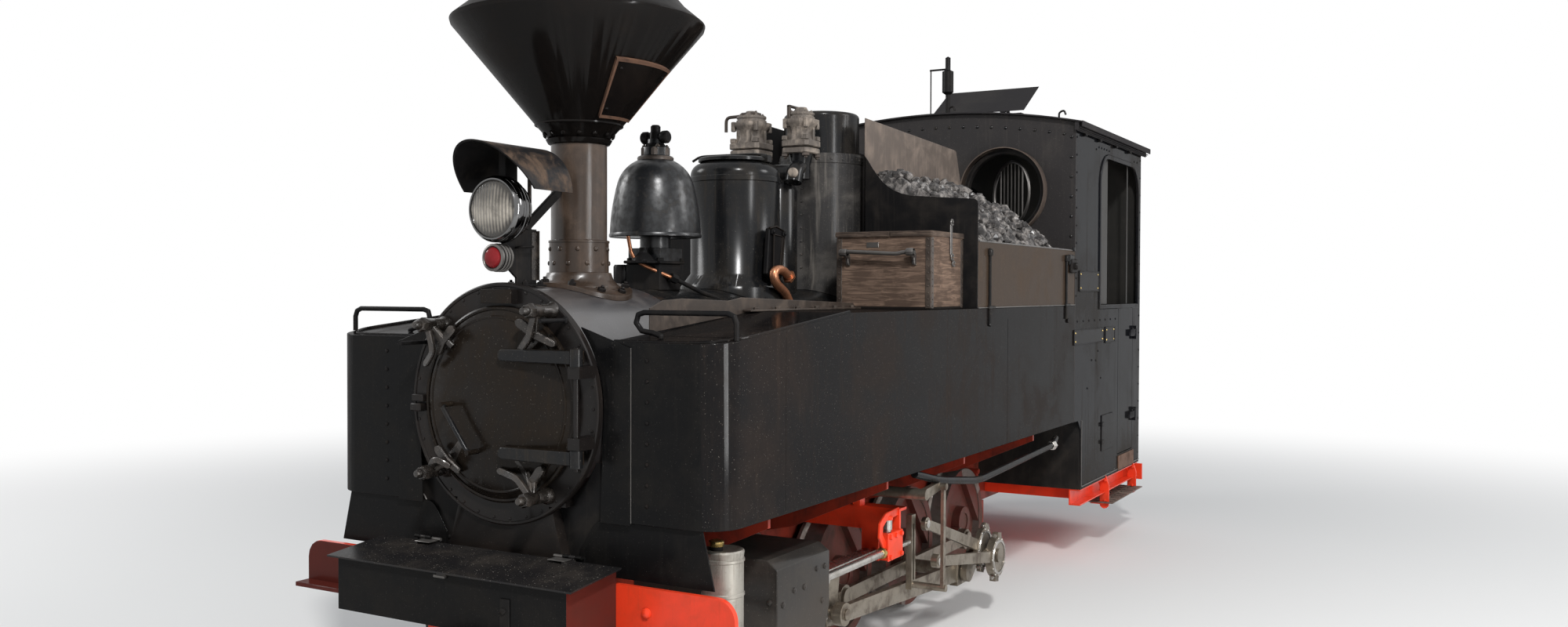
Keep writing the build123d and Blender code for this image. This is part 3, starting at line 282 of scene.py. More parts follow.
def mesh_of(name, groups):
    """One mesh from lists of (points, faces); group number is the material's place."""
    verts, loops, starts, mats, at = [], [], [], [], 0
    n = 0
    for place, shapes in enumerate(groups):
        for points, faces in shapes:
            verts.append(points)
            loops.append((faces + at).ravel())
            starts.append(n + np.arange(len(faces)) * faces.shape[1])
            mats.append(np.full(len(faces), place))
            at += len(points)
            n += faces.size
    verts, loops, starts, mats = (np.concatenate(x) for x in (verts, loops, starts, mats))
    me = bpy.data.meshes.new(name)
    me.vertices.add(len(verts))
    me.vertices.foreach_set("co", verts.astype(np.float32).ravel())
    me.loops.add(len(loops))
    me.loops.foreach_set("vertex_index", loops.astype(np.int32))
    me.polygons.add(len(starts))
    me.polygons.foreach_set("loop_start", starts.astype(np.int32))
    me.update(calc_edges=True)
    me.validate()
    me.polygons.foreach_set("material_index", mats.astype(np.int32))
    return me


def smooth(me, degrees=32):
    """Merges doubles, turns faces outwards and marks edges sharper than the angle."""
    bm = bmesh.new()
    bm.from_mesh(me)
    bmesh.ops.remove_doubles(bm, verts=bm.verts, dist=1e-5)
    bmesh.ops.dissolve_degenerate(bm, edges=bm.edges, dist=1e-6)
    bmesh.ops.recalc_face_normals(bm, faces=bm.faces)
    bm.to_mesh(me)
    bm.free()
    me.polygons.foreach_set("use_smooth", np.ones(len(me.polygons), bool))
    me.set_sharp_from_angle(angle=math.radians(degrees))


def piece(name, slot, *layers, body="engine", degrees=32, replaces=()):
    """An object from (material, shapes) layers, riding on a body."""
    me = mesh_of(name, [shapes for _, shapes in layers])
    for material, _ in layers:
        me.materials.append(paint(material))
    smooth(me, degrees)
    obj = link(name, me)
    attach(obj, body)
    if replaces:
        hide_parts(*replaces)


def dress(node, *materials, zone=None, bevel=None, degrees=32):
    """A merged copy of a CAD node with rounded edges, by the user's edge setting when no bevel is given.
    zone(x, y, z, n) gives each face's material from its centre and the three rows of its normal."""
    if bevel is None:
        bevel = bpy.context.scene.loco_fixings.edge
    me = frame["nodes"][node].data.copy()
    me.name = node + "_dressed"
    me.materials.clear()
    for material in materials:
        me.materials.append(paint(material))
    bm = bmesh.new()
    bm.from_mesh(me)
    bmesh.ops.remove_doubles(bm, verts=bm.verts, dist=1e-5)
    bmesh.ops.dissolve_limit(bm, angle_limit=math.radians(0.4), verts=bm.verts, edges=bm.edges)
    bm.to_mesh(me)
    bm.free()
    count = len(me.polygons)
    me.polygons.foreach_set("use_smooth", np.ones(count, bool))
    me.set_sharp_from_angle(angle=math.radians(degrees))
    places = np.zeros(count, np.int32)
    if zone:
        centres, normals = np.empty(count * 3), np.empty(count * 3)
        me.polygons.foreach_get("center", centres)
        me.polygons.foreach_get("normal", normals)
        places[:] = zone(*centres.reshape(-1, 3).T, normals.reshape(-1, 3).T)
    me.polygons.foreach_set("material_index", places)
    obj = link(node + "_dressed", me)
    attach(obj, BODY_OF[node])
    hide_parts(node)
    if bevel:
        mod = obj.modifiers.new("edge", "BEVEL")
        mod.width = bevel
        mod.segments = 2
        mod.limit_method = "ANGLE"
        mod.angle_limit = math.radians(degrees)
        mod.harden_normals = True


# Shader groups
GROUPS = {}


def label_of(key):
    return key.replace("_", " ").capitalize()


def new_group(name, **inputs):
    """A group with these inputs: its node helper, input sockets, output sockets and object coordinates."""
    n = Nodes(bpy.data.node_groups.new(name, "ShaderNodeTree"))
    GROUPS[name] = n.tree
    for key, default in inputs.items():
        kind = "NodeSocketColor" if isinstance(default, tuple) else "NodeSocketFloat"
        n.tree.interface.new_socket(label_of(key), in_out="INPUT", socket_type=kind).default_value = default
    n.tree.interface.new_socket("Color", in_out="OUTPUT", socket_type="NodeSocketColor")
    for label in ("Roughness", "Height", "Coat")[:3 if "coat" in inputs else 2]:
        n.tree.interface.new_socket(label, in_out="OUTPUT", socket_type="NodeSocketFloat")
    src = n.tree.nodes.new("NodeGroupInput").outputs
    out = n.tree.nodes.new("NodeGroupOutput").inputs
    return n, src, out, n.add("TexCoord").outputs["Object"]


class Nodes:
    """Short names for adding and joining shader nodes in a tree."""

    def __init__(self, tree):
        self.tree = tree

    def add(self, kind, **settings):
        node = self.tree.nodes.new("ShaderNode" + kind)
        for key, value in settings.items():
            setattr(node, key, value)
        return node

    def join(self, a, b):
        self.tree.links.new(a, b)

    def feed(self, socket, value):
        if isinstance(value, bpy.types.NodeSocket):
            self.join(value, socket)
        else:
            socket.default_value = value

    def math(self, op, a, b=0.0, clamp=False):
        node = self.add("Math", operation=op, use_clamp=clamp)
        self.feed(node.inputs[0], a)
        self.feed(node.inputs[1], b)
        return node.outputs[0]

    def times(self, a, b):
        return self.math("MULTIPLY", a, b)

    def plus(self, a, b, clamp=False):
        return self.math("ADD", a, b, clamp)

    def xyz(self, vector):
        node = self.add("SeparateXYZ")
        self.join(vector, node.inputs[0])
        return node.outputs

    def stretched(self, vector, scale):
        node = self.add("Mapping")
        node.inputs["Scale"].default_value = scale
        self.join(vector, node.inputs["Vector"])
        return node.outputs[0]

    def shade(self, factor, a, b):
        """Shader a where the factor is 0, b where it is 1."""
        node = self.add("MixShader")
        for source, socket in zip((factor, a, b), node.inputs):
            self.join(source, socket)
        return node.outputs[0]

    def seen(self):
        """1 for rays from the camera, from mirrors and through glass."""
        path = self.add("LightPath").outputs
        both = self.math("MAXIMUM", path["Is Camera Ray"], path["Is Glossy Ray"])
        return self.math("MAXIMUM", both, path["Is Transmission Ray"])

    def noise(self, vector, scale, detail=4.0, rough=0.5, distort=0.0):
        node = self.add("TexNoise")
        self.join(vector, node.inputs["Vector"])
        self.feed(node.inputs["Scale"], scale)
        node.inputs["Detail"].default_value = detail
        node.inputs["Roughness"].default_value = rough
        node.inputs["Distortion"].default_value = distort
        return node.outputs["Fac"]

    def ramp(self, value, low, high, to0=0.0, to1=1.0):
        node = self.add("MapRange", interpolation_type="SMOOTHSTEP")
        self.feed(node.inputs["Value"], value)
        for key, number in (("From Min", low), ("From Max", high), ("To Min", to0), ("To Max", to1)):
            self.feed(node.inputs[key], number)
        return node.outputs["Result"]

    def mix(self, factor, a, b):
        node = self.add("Mix", data_type="RGBA")
        self.feed(node.inputs["Factor"], factor)
        self.feed(node.inputs[6], a)
        self.feed(node.inputs[7], b)
        return node.outputs[2]

    def blend(self, factor, a, b):
        node = self.add("Mix", data_type="FLOAT")
        self.feed(node.inputs["Factor"], factor)
        self.feed(node.inputs[2], a)
        self.feed(node.inputs[3], b)
        return node.outputs[0]


def weathering_group():
    """Paint under patchy grime, streaks that run down, and dust that thickens towards the rails."""
    n, src, out, pos = new_group("weathering", paint=(0.02, 0.02, 0.02, 1), grime=(0.1, 0.08, 0.06, 1),
                                 dust=(*BROWN_DUST, 1), amount=0.6, scale=4.0, low_dust=0.0, streaks=0.3,
                                 gloss=0.25, dull=0.6, coat=0.0, spots=0.0)
    patches = n.noise(pos, src["Scale"], 9.0, 0.62, 0.4)
    specks = n.noise(pos, n.times(src["Scale"], 26.0), 3.0, 0.7)
    stretch = n.stretched(pos, (1.0, 1.0, 0.06))
    runs = n.noise(stretch, n.times(src["Scale"], 9.0), 5.0, 0.6)
    split = n.xyz(pos)
    low = n.ramp(split["Z"], 1.0, 0.15)
    patch_mask = n.times(n.ramp(patches, 0.42, 0.72), src["Amount"])
    speck_mask = n.times(n.ramp(specks, 0.6, 0.74), n.times(src["Amount"], 0.8))
    run_mask = n.times(n.ramp(runs, 0.52, 0.78), src["Streaks"])
    grime = n.plus(n.plus(patch_mask, speck_mask), run_mask, clamp=True)
    dust = n.times(n.times(low, n.ramp(patches, 0.25, 0.7, 0.35, 1.0)), src["Low dust"])
    colour = n.mix(dust, n.mix(grime, src["Paint"], src["Grime"]), src["Dust"])
    spots = n.times(n.ramp(n.noise(pos, 240.0, 1.0, 0.4), 0.725, 0.77), src["Spots"])
    colour = n.mix(spots, colour, (0.42, 0.38, 0.33, 1))
    dirt = n.plus(n.plus(grime, dust), spots, clamp=True)
    rough = n.blend(dirt, src["Gloss"], src["Dull"])
    coat = n.times(src["Coat"], n.math("SUBTRACT", 1.0, n.times(dirt, 0.85)))
    n.join(coat, out["Coat"])
    fine = n.times(specks, 0.35)
    n.join(colour, out["Color"])
    n.join(rough, out["Roughness"])
    n.join(n.plus(n.times(patches, 0.65), fine), out["Height"])


def grain_group():
    """Wood grain along X: stretched noise, darker knots and seams between boards."""
    n, src, out, pos = new_group("grain", light=(0.2, 0.12, 0.07, 1), dark=(0.04, 0.025, 0.018, 1),
                                 scale=10.0, board=0.14)
    stretch = n.stretched(pos, (0.35, 0.35, 4.0))
    lines = n.noise(stretch, src["Scale"], 8.0, 0.65, 1.2)
    stains = n.noise(pos, 9.0, 4.0, 0.6)
    split = n.xyz(pos)
    board = n.math("FRACT", n.math("DIVIDE", n.plus(split["Z"], -1.545), src["Board"]))
    seam = n.math("LESS_THAN", board, 0.03)
    tone = n.plus(n.ramp(lines, 0.35, 0.7), n.times(n.ramp(stains, 0.4, 0.75), -0.5), clamp=True)
    wood = n.mix(tone, src["Dark"], src["Light"])
    n.join(n.mix(seam, wood, (0.008, 0.006, 0.005, 1)), out["Color"])
    n.join(n.ramp(lines, 0.3, 0.7, 0.75, 0.95), out["Roughness"])
    n.join(n.math("SUBTRACT", n.times(lines, 0.6), seam), out["Height"])


def hammered_group():
    """Pitted casting under thick paint: rounded cells of two sizes."""
    n, src, out, pos = new_group("hammered", paint=(0.012, 0.013, 0.015, 1), scale=90.0, gloss=0.16, coat=0.4)
    coarse = n.noise(pos, src["Scale"], 3.0, 0.5)
    fine = n.noise(pos, n.times(src["Scale"], 3.2), 3.0, 0.5)
    n.join(n.mix(n.ramp(coarse, 0.5, 0.8, 0.0, 0.6), src["Paint"], (0.05, 0.045, 0.04, 1)), out["Color"])
    n.join(n.plus(src["Gloss"], n.times(fine, 0.16)), out["Roughness"])
    n.join(n.plus(coarse, n.times(fine, 0.4)), out["Height"])
    n.join(n.times(src["Coat"], n.ramp(coarse, 0.75, 0.35, 0.35, 1.0)), out["Coat"])


def fluted_group():
    """Old lamp glass: upright flutes across Y whose light and dark stripes are painted highlights, a brighter
    band at mid height that is a painted highlight, stains, and a darkening towards the rim.
    """
    n, src, out, pos = new_group("fluted", light=(0.5, 0.46, 0.4, 1), dark=(0.1, 0.085, 0.07, 1),
                                 pitch=0.0095, middle=1.9, gloss=0.16, coat=0.7)
    split = n.xyz(pos)
    wave = n.math("SINE", n.math("DIVIDE", n.times(split["Y"], 6.2832), src["Pitch"]))
    flute_and_glint = n.plus(n.times(wave, 0.5), 0.5)
    height = n.math("SUBTRACT", split["Z"], src["Middle"])
    # The band is a painted highlight across the lens; the edge ramp darkens the colour towards the rim.
    band = n.ramp(n.math("ABSOLUTE", n.plus(height, 0.012)), 0.055, 0.004)
    radius = n.math("SQRT", n.plus(n.math("POWER", height, 2.0), n.math("POWER", split["Y"], 2.0)))
    edge = n.ramp(radius, 0.07, 0.1)
    stain = n.noise(pos, 18.0, 4.0, 0.6)
    tone = n.plus(n.times(flute_and_glint, 0.45), n.times(band, 0.55))
    tone = n.times(tone, n.ramp(stain, 0.3, 0.65, 0.45, 1.0))
    tone = n.math("SUBTRACT", tone, n.times(edge, 0.45), clamp=True)
    n.join(n.mix(tone, src["Dark"], src["Light"]), out["Color"])
    n.join(n.plus(src["Gloss"], n.times(stain, 0.15)), out["Roughness"])
    n.join(flute_and_glint, out["Height"])
    n.join(src["Coat"], out["Coat"])


# Materials
MATERIALS = {}


def finish(name, kind="weathering", metallic=0.0, specular=0.0, coat_rough=0.1, bump=0.3, depth=0.002,
           **values):
    """A Principled material whose colour, roughness, coat and bump come from one of the groups."""
    mat = bpy.data.materials.new(name)
    mat.use_nodes = True
    n = Nodes(mat.node_tree)
    shader = mat.node_tree.nodes["Principled BSDF"]
    node = n.add("Group", node_tree=GROUPS[kind])
    for key, value in values.items():
        socket = node.inputs[label_of(key)]
        socket.default_value = (*value, 1) if isinstance(value, tuple) else value
    n.join(node.outputs["Color"], shader.inputs["Base Color"])
    n.join(node.outputs["Roughness"], shader.inputs["Roughness"])
    if "Coat" in node.outputs:
        n.join(node.outputs["Coat"], shader.inputs["Coat Weight"])
    relief = n.add("Bump")
    relief.inputs["Strength"].default_value = bump
    relief.inputs["Distance"].default_value = depth
    n.join(node.outputs["Height"], relief.inputs["Height"])
    n.join(relief.outputs[0], shader.inputs["Normal"])
    shader.inputs["Metallic"].default_value = metallic
    shader.inputs["Coat Roughness"].default_value = coat_rough
    shader.inputs["Specular IOR Level"].default_value = specular
    colour = values.get("paint", values.get("light", (0.1, 0.1, 0.1)))
    mat.diffuse_color = (*colour, 1)
    MATERIALS[name] = mat


def paint(name):
    if name not in MATERIALS:
        raise RuntimeError("run the finishes operator first: no material " + name)
    return MATERIALS[name]


def build_materials(colours):
    """Every finish of the engine, by what it covers."""
    for make in (weathering_group, grain_group, hammered_group, fluted_group):
        make()
    black, red, orange = tuple(colours.black), tuple(colours.frame_red), tuple(colours.beam_red)
    gloss = colours.gloss
    finish("tank_paint", paint=black, grime=(0.026, 0.02, 0.017), dust=(0.055, 0.044, 0.036), amount=0.7,
           scale=2.4, low_dust=0.3, streaks=0.55, coat=gloss, coat_rough=0.12, bump=0.1, depth=0.004,
           spots=0.3)
    finish("cab_paint", paint=(0.007, 0.0075, 0.0092), grime=(0.028, 0.024, 0.021), dust=(0.075, 0.062, 0.05),
           scale=2.0, low_dust=0.45, streaks=0.5, coat=gloss * 1.1, coat_rough=0.11, bump=0.08, depth=0.004,
           spots=0.2)
    finish("satin_black", paint=(0.031, 0.0285, 0.0285), grime=(0.062, 0.055, 0.05), dust=(0.09, 0.075, 0.06),
           scale=3.0, low_dust=0.3, streaks=0.6, coat=0.22, coat_rough=0.22, bump=0.12, depth=0.003,
           spots=0.25)
    finish("smokebox_paint", paint=(0.009, 0.0075, 0.007), grime=(0.034, 0.026, 0.021), amount=0.55,
           low_dust=0.1, streaks=0.15, coat=0.4, coat_rough=0.3, bump=0.22, depth=0.003, spots=0.15)
    # Lighter, bluish grey for the upper smokebox shell: a painted reflection of the sky on the black paint.
    finish("smokebox_sky_sheen", paint=(0.03, 0.028, 0.03), grime=(0.085, 0.075, 0.07), scale=5.0, streaks=0.2,
           gloss=0.34, specular=0.5, coat=0.9, coat_rough=0.24, bump=0.22, depth=0.003, spots=0.4)
    finish("door_paint", paint=(0.009, 0.0066, 0.005), grime=(0.026, 0.019, 0.0135), scale=5.0, low_dust=0.05,
           streaks=0.35, coat=0.3, coat_rough=0.2, bump=0.14, spots=0.25)
    finish("clamp_iron", paint=(0.02, 0.0165, 0.014), grime=(0.085, 0.068, 0.055), scale=18.0, low_dust=0.1,
           streaks=0.1, gloss=0.26, dull=0.5, metallic=0.5, specular=0.5, coat=0.35, coat_rough=0.16,
           bump=1.0, depth=0.0025, spots=0.5)
    finish("cone_paint", paint=(0.0055, 0.0046, 0.0042), grime=(0.02, 0.0145, 0.0115), amount=0.35, scale=3.5,
           streaks=0.15, coat=0.22, coat_rough=0.14, bump=0.08, depth=0.004)
    finish("stack_paint", paint=(0.03, 0.0195, 0.0135), grime=(0.085, 0.058, 0.042), amount=0.65, scale=9.0,
           streaks=0.45, gloss=0.35, specular=0.12, coat=0.46, coat_rough=0.24, bump=0.25)
    finish("dome_paint", paint=(0.0065, 0.0068, 0.0075), grime=(0.04, 0.034, 0.028), amount=0.5, scale=6.0,
           streaks=0.6, coat=0.42, coat_rough=0.2, bump=0.35, depth=0.003, spots=0.2)
    # Its pale grey streaks stand partly for dirt running down the casing and partly for painted highlights.
    finish("casing_paint", paint=(0.03, 0.0285, 0.028), grime=(0.13, 0.118, 0.105), scale=5.0, streaks=0.9,
           coat=0.3, coat_rough=0.26, bump=0.2, depth=0.003, spots=0.3)
    finish("bell_paint", kind="hammered", bump=0.9, depth=0.004, paint=(0.008, 0.0085, 0.0095), scale=40.0,
           gloss=0.3, coat=0.9, coat_rough=0.3)
    finish("valve_iron", paint=(0.1, 0.085, 0.073), grime=(0.34, 0.285, 0.235), amount=0.9, scale=14.0,
           gloss=0.5, dull=0.75, metallic=0.25, specular=0.3, bump=0.6, depth=0.003)
    finish("frame_paint", paint=red, grime=(0.045, 0.012, 0.008), dust=(0.12, 0.05, 0.035), amount=0.85,
           scale=7.0, low_dust=0.35, streaks=0.4, gloss=0.35, specular=0.2)
    finish("orange_paint", paint=orange, grime=(0.36, 0.035, 0.012), dust=(0.42, 0.1, 0.05), amount=0.35,
           scale=9.0, low_dust=0.12, streaks=0.2, gloss=0.28, dull=0.5, specular=0.25, coat=0.15,
           coat_rough=0.15, bump=0.25)
    finish("maroon_paint", paint=(0.08, 0.012, 0.0085), grime=(0.035, 0.012, 0.009), dust=(0.13, 0.07, 0.055),
           amount=0.4, low_dust=0.25, coat=0.25, coat_rough=0.2, bump=0.15)
    finish("rod_steel", paint=(0.27, 0.235, 0.185), grime=(0.075, 0.055, 0.04), dust=(0.13, 0.1, 0.075),
           amount=0.9, scale=13.0, low_dust=0.3, gloss=0.27, dull=0.5, metallic=0.8, specular=0.5, bump=0.2,
           depth=0.001)
    finish("bright_steel", paint=(0.5, 0.48, 0.45), grime=(0.2, 0.175, 0.145), dust=(0.2, 0.17, 0.14),
           scale=20.0, low_dust=0.1, streaks=0.1, gloss=0.2, dull=0.42, metallic=0.9, specular=0.5, bump=0.15,
           depth=0.001)
    finish("wheel_paint", paint=(0.1, 0.016, 0.012), grime=(0.025, 0.014, 0.011), dust=(0.12, 0.085, 0.065),
           amount=0.75, scale=9.0, low_dust=0.45, streaks=0.2, gloss=0.4, dull=0.65, specular=0.15)
    finish("tyre_steel", paint=(0.26, 0.23, 0.21), grime=(0.09, 0.055, 0.036), dust=(0.16, 0.12, 0.095),
           amount=0.75, scale=12.0, low_dust=0.3, streaks=0.1, gloss=0.35, dull=0.65, metallic=0.7,
           specular=0.5, depth=0.001)
    finish("bunker_plate", paint=(0.11, 0.088, 0.074), grime=(0.24, 0.19, 0.155), amount=0.75, scale=7.0,
           streaks=0.7, gloss=0.5, dull=0.78, metallic=0.15, specular=0.2, bump=0.35)
    finish("sheet_black", paint=(0.0085, 0.0082, 0.0085), grime=(0.04, 0.034, 0.029),
           dust=(0.09, 0.075, 0.06), amount=0.45, scale=6.0, low_dust=0.22, coat=0.16, coat_rough=0.3,
           bump=0.18)
    finish("lid_plate", paint=(0.01, 0.0095, 0.01), grime=(0.045, 0.038, 0.032), dust=(0.1, 0.085, 0.07),
           scale=6.0, low_dust=0.12, streaks=0.0, coat=0.45, coat_rough=0.22, bump=0.12, spots=0.7)
    # Brown on the outer bunker plates: a painted reflection of the ground on black paint.
    finish("bunker_reflected_brown", paint=(0.044, 0.03, 0.021), grime=(0.075, 0.053, 0.038), scale=5.0, low_dust=0.1,
           streaks=0.4, gloss=0.35, coat=0.24, coat_rough=0.2, bump=0.2, depth=0.003, spots=0.2)
    finish("cowl_brown", paint=(0.085, 0.066, 0.056), grime=(0.15, 0.115, 0.09), amount=0.8, scale=14.0,
           gloss=0.5, coat=0.15, coat_rough=0.3, bump=0.4, depth=0.003, spots=0.2)
    finish("sooty_glass", paint=(0.012, 0.013, 0.013), grime=(0.045, 0.04, 0.034), scale=9.0, streaks=0.5,
           gloss=0.08, coat=0.7, coat_rough=0.05, bump=0.05, depth=0.001, spots=0.2)
    # A deeper black; on the tanks' forward faces it is painted shade.
    finish("pitch_black", paint=(0.0045, 0.0045, 0.0047), grime=(0.016, 0.0145, 0.013),
           dust=(0.06, 0.05, 0.042), scale=6.0, low_dust=0.1, gloss=0.4, specular=0.02, coat=0.14,
           coat_rough=0.2, bump=0.2, depth=0.003, spots=0.1)
    finish("cylinder_paint", paint=(0.016, 0.0145, 0.0135), grime=(0.05, 0.042, 0.036),
           dust=(0.09, 0.075, 0.06), low_dust=0.3, gloss=0.3, specular=0.06, coat=0.36, coat_rough=0.18,
           bump=0.15, depth=0.003, spots=0.25)
    finish("brown_iron", paint=(0.04, 0.03, 0.024), grime=(0.11, 0.084, 0.066), amount=0.8, scale=14.0,
           streaks=0.2, gloss=0.45, dull=0.7, metallic=0.3, specular=0.3, coat=0.2, coat_rough=0.3, bump=0.5)
    finish("roof_paint", paint=(0.03, 0.028, 0.029), grime=(0.065, 0.06, 0.055), amount=0.5, scale=3.0,
           streaks=0.1, coat=0.1, coat_rough=0.4, bump=0.2, depth=0.003)
    finish("rusty_iron", paint=(0.13, 0.07, 0.045), grime=(0.055, 0.032, 0.024), amount=0.85, scale=18.0,
           streaks=0.1, gloss=0.6, dull=0.85, metallic=0.2, specular=0.2, bump=0.5)
    finish("hood_sheet", paint=(0.012, 0.012, 0.013), grime=(0.115, 0.078, 0.055), amount=0.95, scale=10.0,
           coat=0.35, coat_rough=0.3, bump=0.35)
    # The pale grime patches on the coal are painted highlights on the lumps.
    finish("coal_face", paint=(0.042, 0.039, 0.038), grime=(0.52, 0.475, 0.44), scale=26.0, streaks=0.0,
           coat=0.5, coat_rough=0.22, bump=0.8, depth=0.006)
    finish("zinc", paint=(0.36, 0.34, 0.3), grime=(0.14, 0.12, 0.1), dust=(0.2, 0.17, 0.14), amount=0.85,
           scale=11.0, low_dust=0.3, streaks=0.5, gloss=0.38, metallic=0.7, specular=0.5)
    finish("brass", paint=(0.55, 0.4, 0.15), grime=(0.2, 0.13, 0.06), scale=30.0, streaks=0.0, dull=0.5,
           metallic=0.95, specular=0.5, bump=0.2, depth=0.001)
    finish("copper", paint=(0.46, 0.2, 0.105), grime=(0.17, 0.078, 0.05), amount=0.7, scale=30.0, streaks=0.0,
           gloss=0.32, dull=0.5, metallic=0.8, specular=0.5, bump=0.2, depth=0.001)
    finish("chrome", paint=(0.15, 0.15, 0.15), grime=(0.07, 0.065, 0.06), amount=0.35, scale=12.0,
           streaks=0.1, gloss=0.1, dull=0.3, metallic=1.0, specular=0.5, bump=0.05, depth=0.001)
    # The lens colour carries the painted highlights of the fluted group.
    finish("lens_glass", kind="fluted", light=(0.42, 0.38, 0.32), dark=(0.035, 0.031, 0.026), pitch=0.0135,
           middle=LAMP_Z, coat=0.3, coat_rough=0.06, specular=0.4, bump=0.25)
    finish("red_lens", paint=(0.2, 0.013, 0.016), grime=(0.14, 0.012, 0.012), amount=0.5, scale=30.0,
           streaks=0.1, gloss=0.3, dull=0.45, coat=0.35, bump=0.1, depth=0.001)
    finish("lamp_iron", paint=(0.12, 0.112, 0.105), grime=(0.055, 0.05, 0.045), scale=16.0, streaks=0.1,
           gloss=0.35, dull=0.55, metallic=0.6, specular=0.5, bump=0.2, depth=0.001)
    finish("chest_boards", kind="grain", specular=0.15, bump=0.5, depth=0.003, light=(0.215, 0.145, 0.105),
           dark=(0.08, 0.053, 0.039), scale=16.0, board=0.36)
    finish("lid_boards", kind="grain", specular=0.15, bump=0.5, depth=0.003, light=(0.12, 0.088, 0.068),
           dark=(0.04, 0.029, 0.023), scale=16.0, board=0.5)
    # The lining inside the cab is kept near black: painted shade in the cab's interior.
    finish("cab_lining", paint=(0.022, 0.021, 0.019), grime=(0.04, 0.034, 0.03), amount=0.4, scale=5.0,
           low_dust=0.1, gloss=0.45, specular=0.15, bump=0.15)
    finish("blank_plate", paint=(0.01, 0.01, 0.011), grime=(0.04, 0.034, 0.028), amount=0.3, scale=20.0,
           streaks=0.1, coat=0.3, coat_rough=0.25, bump=0.1, depth=0.001)


# The pieces' sizes and colours, as a user would change them
class LocomotivePaint(bpy.types.PropertyGroup):
    black: bpy.props.FloatVectorProperty(
        name="Black paint", description="Colour of the tanks, smokebox and fittings", subtype="COLOR", size=3,
        default=(0.0052, 0.0048, 0.005), min=0, max=1)
    frame_red: bpy.props.FloatVectorProperty(
        name="Frame red", description="Oily red of frame plates and stretchers", subtype="COLOR", size=3,
        default=(0.24, 0.026, 0.013), min=0, max=1)
    beam_red: bpy.props.FloatVectorProperty(
        name="Beam red", description="Orange red of the front beam and brackets", subtype="COLOR", size=3,
        default=(0.78, 0.046, 0.014), min=0, max=1)
    gloss: bpy.props.FloatProperty(
        name="Paint gloss", description="Weight of the clear coat over the black paint of tanks and cab",
        subtype="FACTOR", default=0.24, min=0.0, max=1)


class LocomotiveFixings(bpy.types.PropertyGroup):
    rivet: bpy.props.FloatProperty(
        name="Rivet radius", description="Radius of the rivet heads on cab, chimney and frame", unit="LENGTH",
        default=0.009, min=0.002, max=0.03)
    bolt: bpy.props.FloatProperty(
        name="Bolt radius", description="Radius across the corners of the small bolt heads", unit="LENGTH",
        default=0.013, min=0.003, max=0.04)
    edge: bpy.props.FloatProperty(name="Edge rounding",
                                  description="Width of the bevel along the edges of plates and castings",
                                  unit="LENGTH", default=0.0018, min=0.0002, max=0.01)


class LocomotiveStudio(bpy.types.PropertyGroup):
    floor: bpy.props.FloatVectorProperty(name="Floor", description="Colour of the plain floor",
                                         subtype="COLOR", size=3, default=(0.84, 0.83, 0.81), min=0, max=1)
    key: bpy.props.FloatProperty(
        name="Key light", description="Power of the light at the front left of the engine", unit="POWER",
        default=640, min=0)
    fill: bpy.props.FloatProperty(name="Sky level",
                                  description="Strength of the light that comes from everywhere",
                                  default=0.36, min=0, max=3)


class LOCO_OT_finishes(bpy.types.Operator):
    """Builds the paints, metals, wood and glass"""
    bl_idname = "loco.finishes"
    bl_label = "Finishes"

    def execute(self, context):
        build_materials(context.scene.loco_paint)
        return {"FINISHED"}


# Door castings: Y and Z of the stud, then the paths of the handle and of the dog that presses on the door
CASTINGS = (((0.221, 1.558),
             [(2.7, 0.219, 1.545), (2.697, 0.2, 1.496), (2.69, 0.186, 1.464), (2.672, 0.132, 1.42),
              (2.664, 0.116, 1.408)], [(2.684, 0.146, 1.516), (2.672, 0.196, 1.48), (2.652, 0.256, 1.45)]),
            ((-0.258, 1.505),
             [(2.7, -0.257, 1.492), (2.696, -0.241, 1.43), (2.688, -0.248, 1.405), (2.668, -0.298, 1.368)],
             [(2.656, -0.19, 1.485), (2.672, -0.214, 1.448), (2.664, -0.238, 1.412)]),
            ((-0.252, 0.995),
             [(2.7, -0.246, 1.01), (2.708, -0.226, 1.036), (2.706, -0.2, 1.04), (2.69, -0.176, 1.022)],
             [(2.668, -0.235, 1.068), (2.668, -0.198, 1.034), (2.656, -0.16, 1.003)]),
            ((0.203, 0.938),
             [(2.7, 0.196, 0.95), (2.694, 0.158, 0.982), (2.688, 0.131, 1.001), (2.668, 0.07, 1.008),
              (2.664, 0.04, 1.014)], [(2.656, 0.206, 1.026), (2.664, 0.184, 0.992), (2.66, 0.166, 0.964)]),)
GUIDE_PINS = ((0.278, 1.527), (-0.345, 1.44))   # Y and Z, on the ring


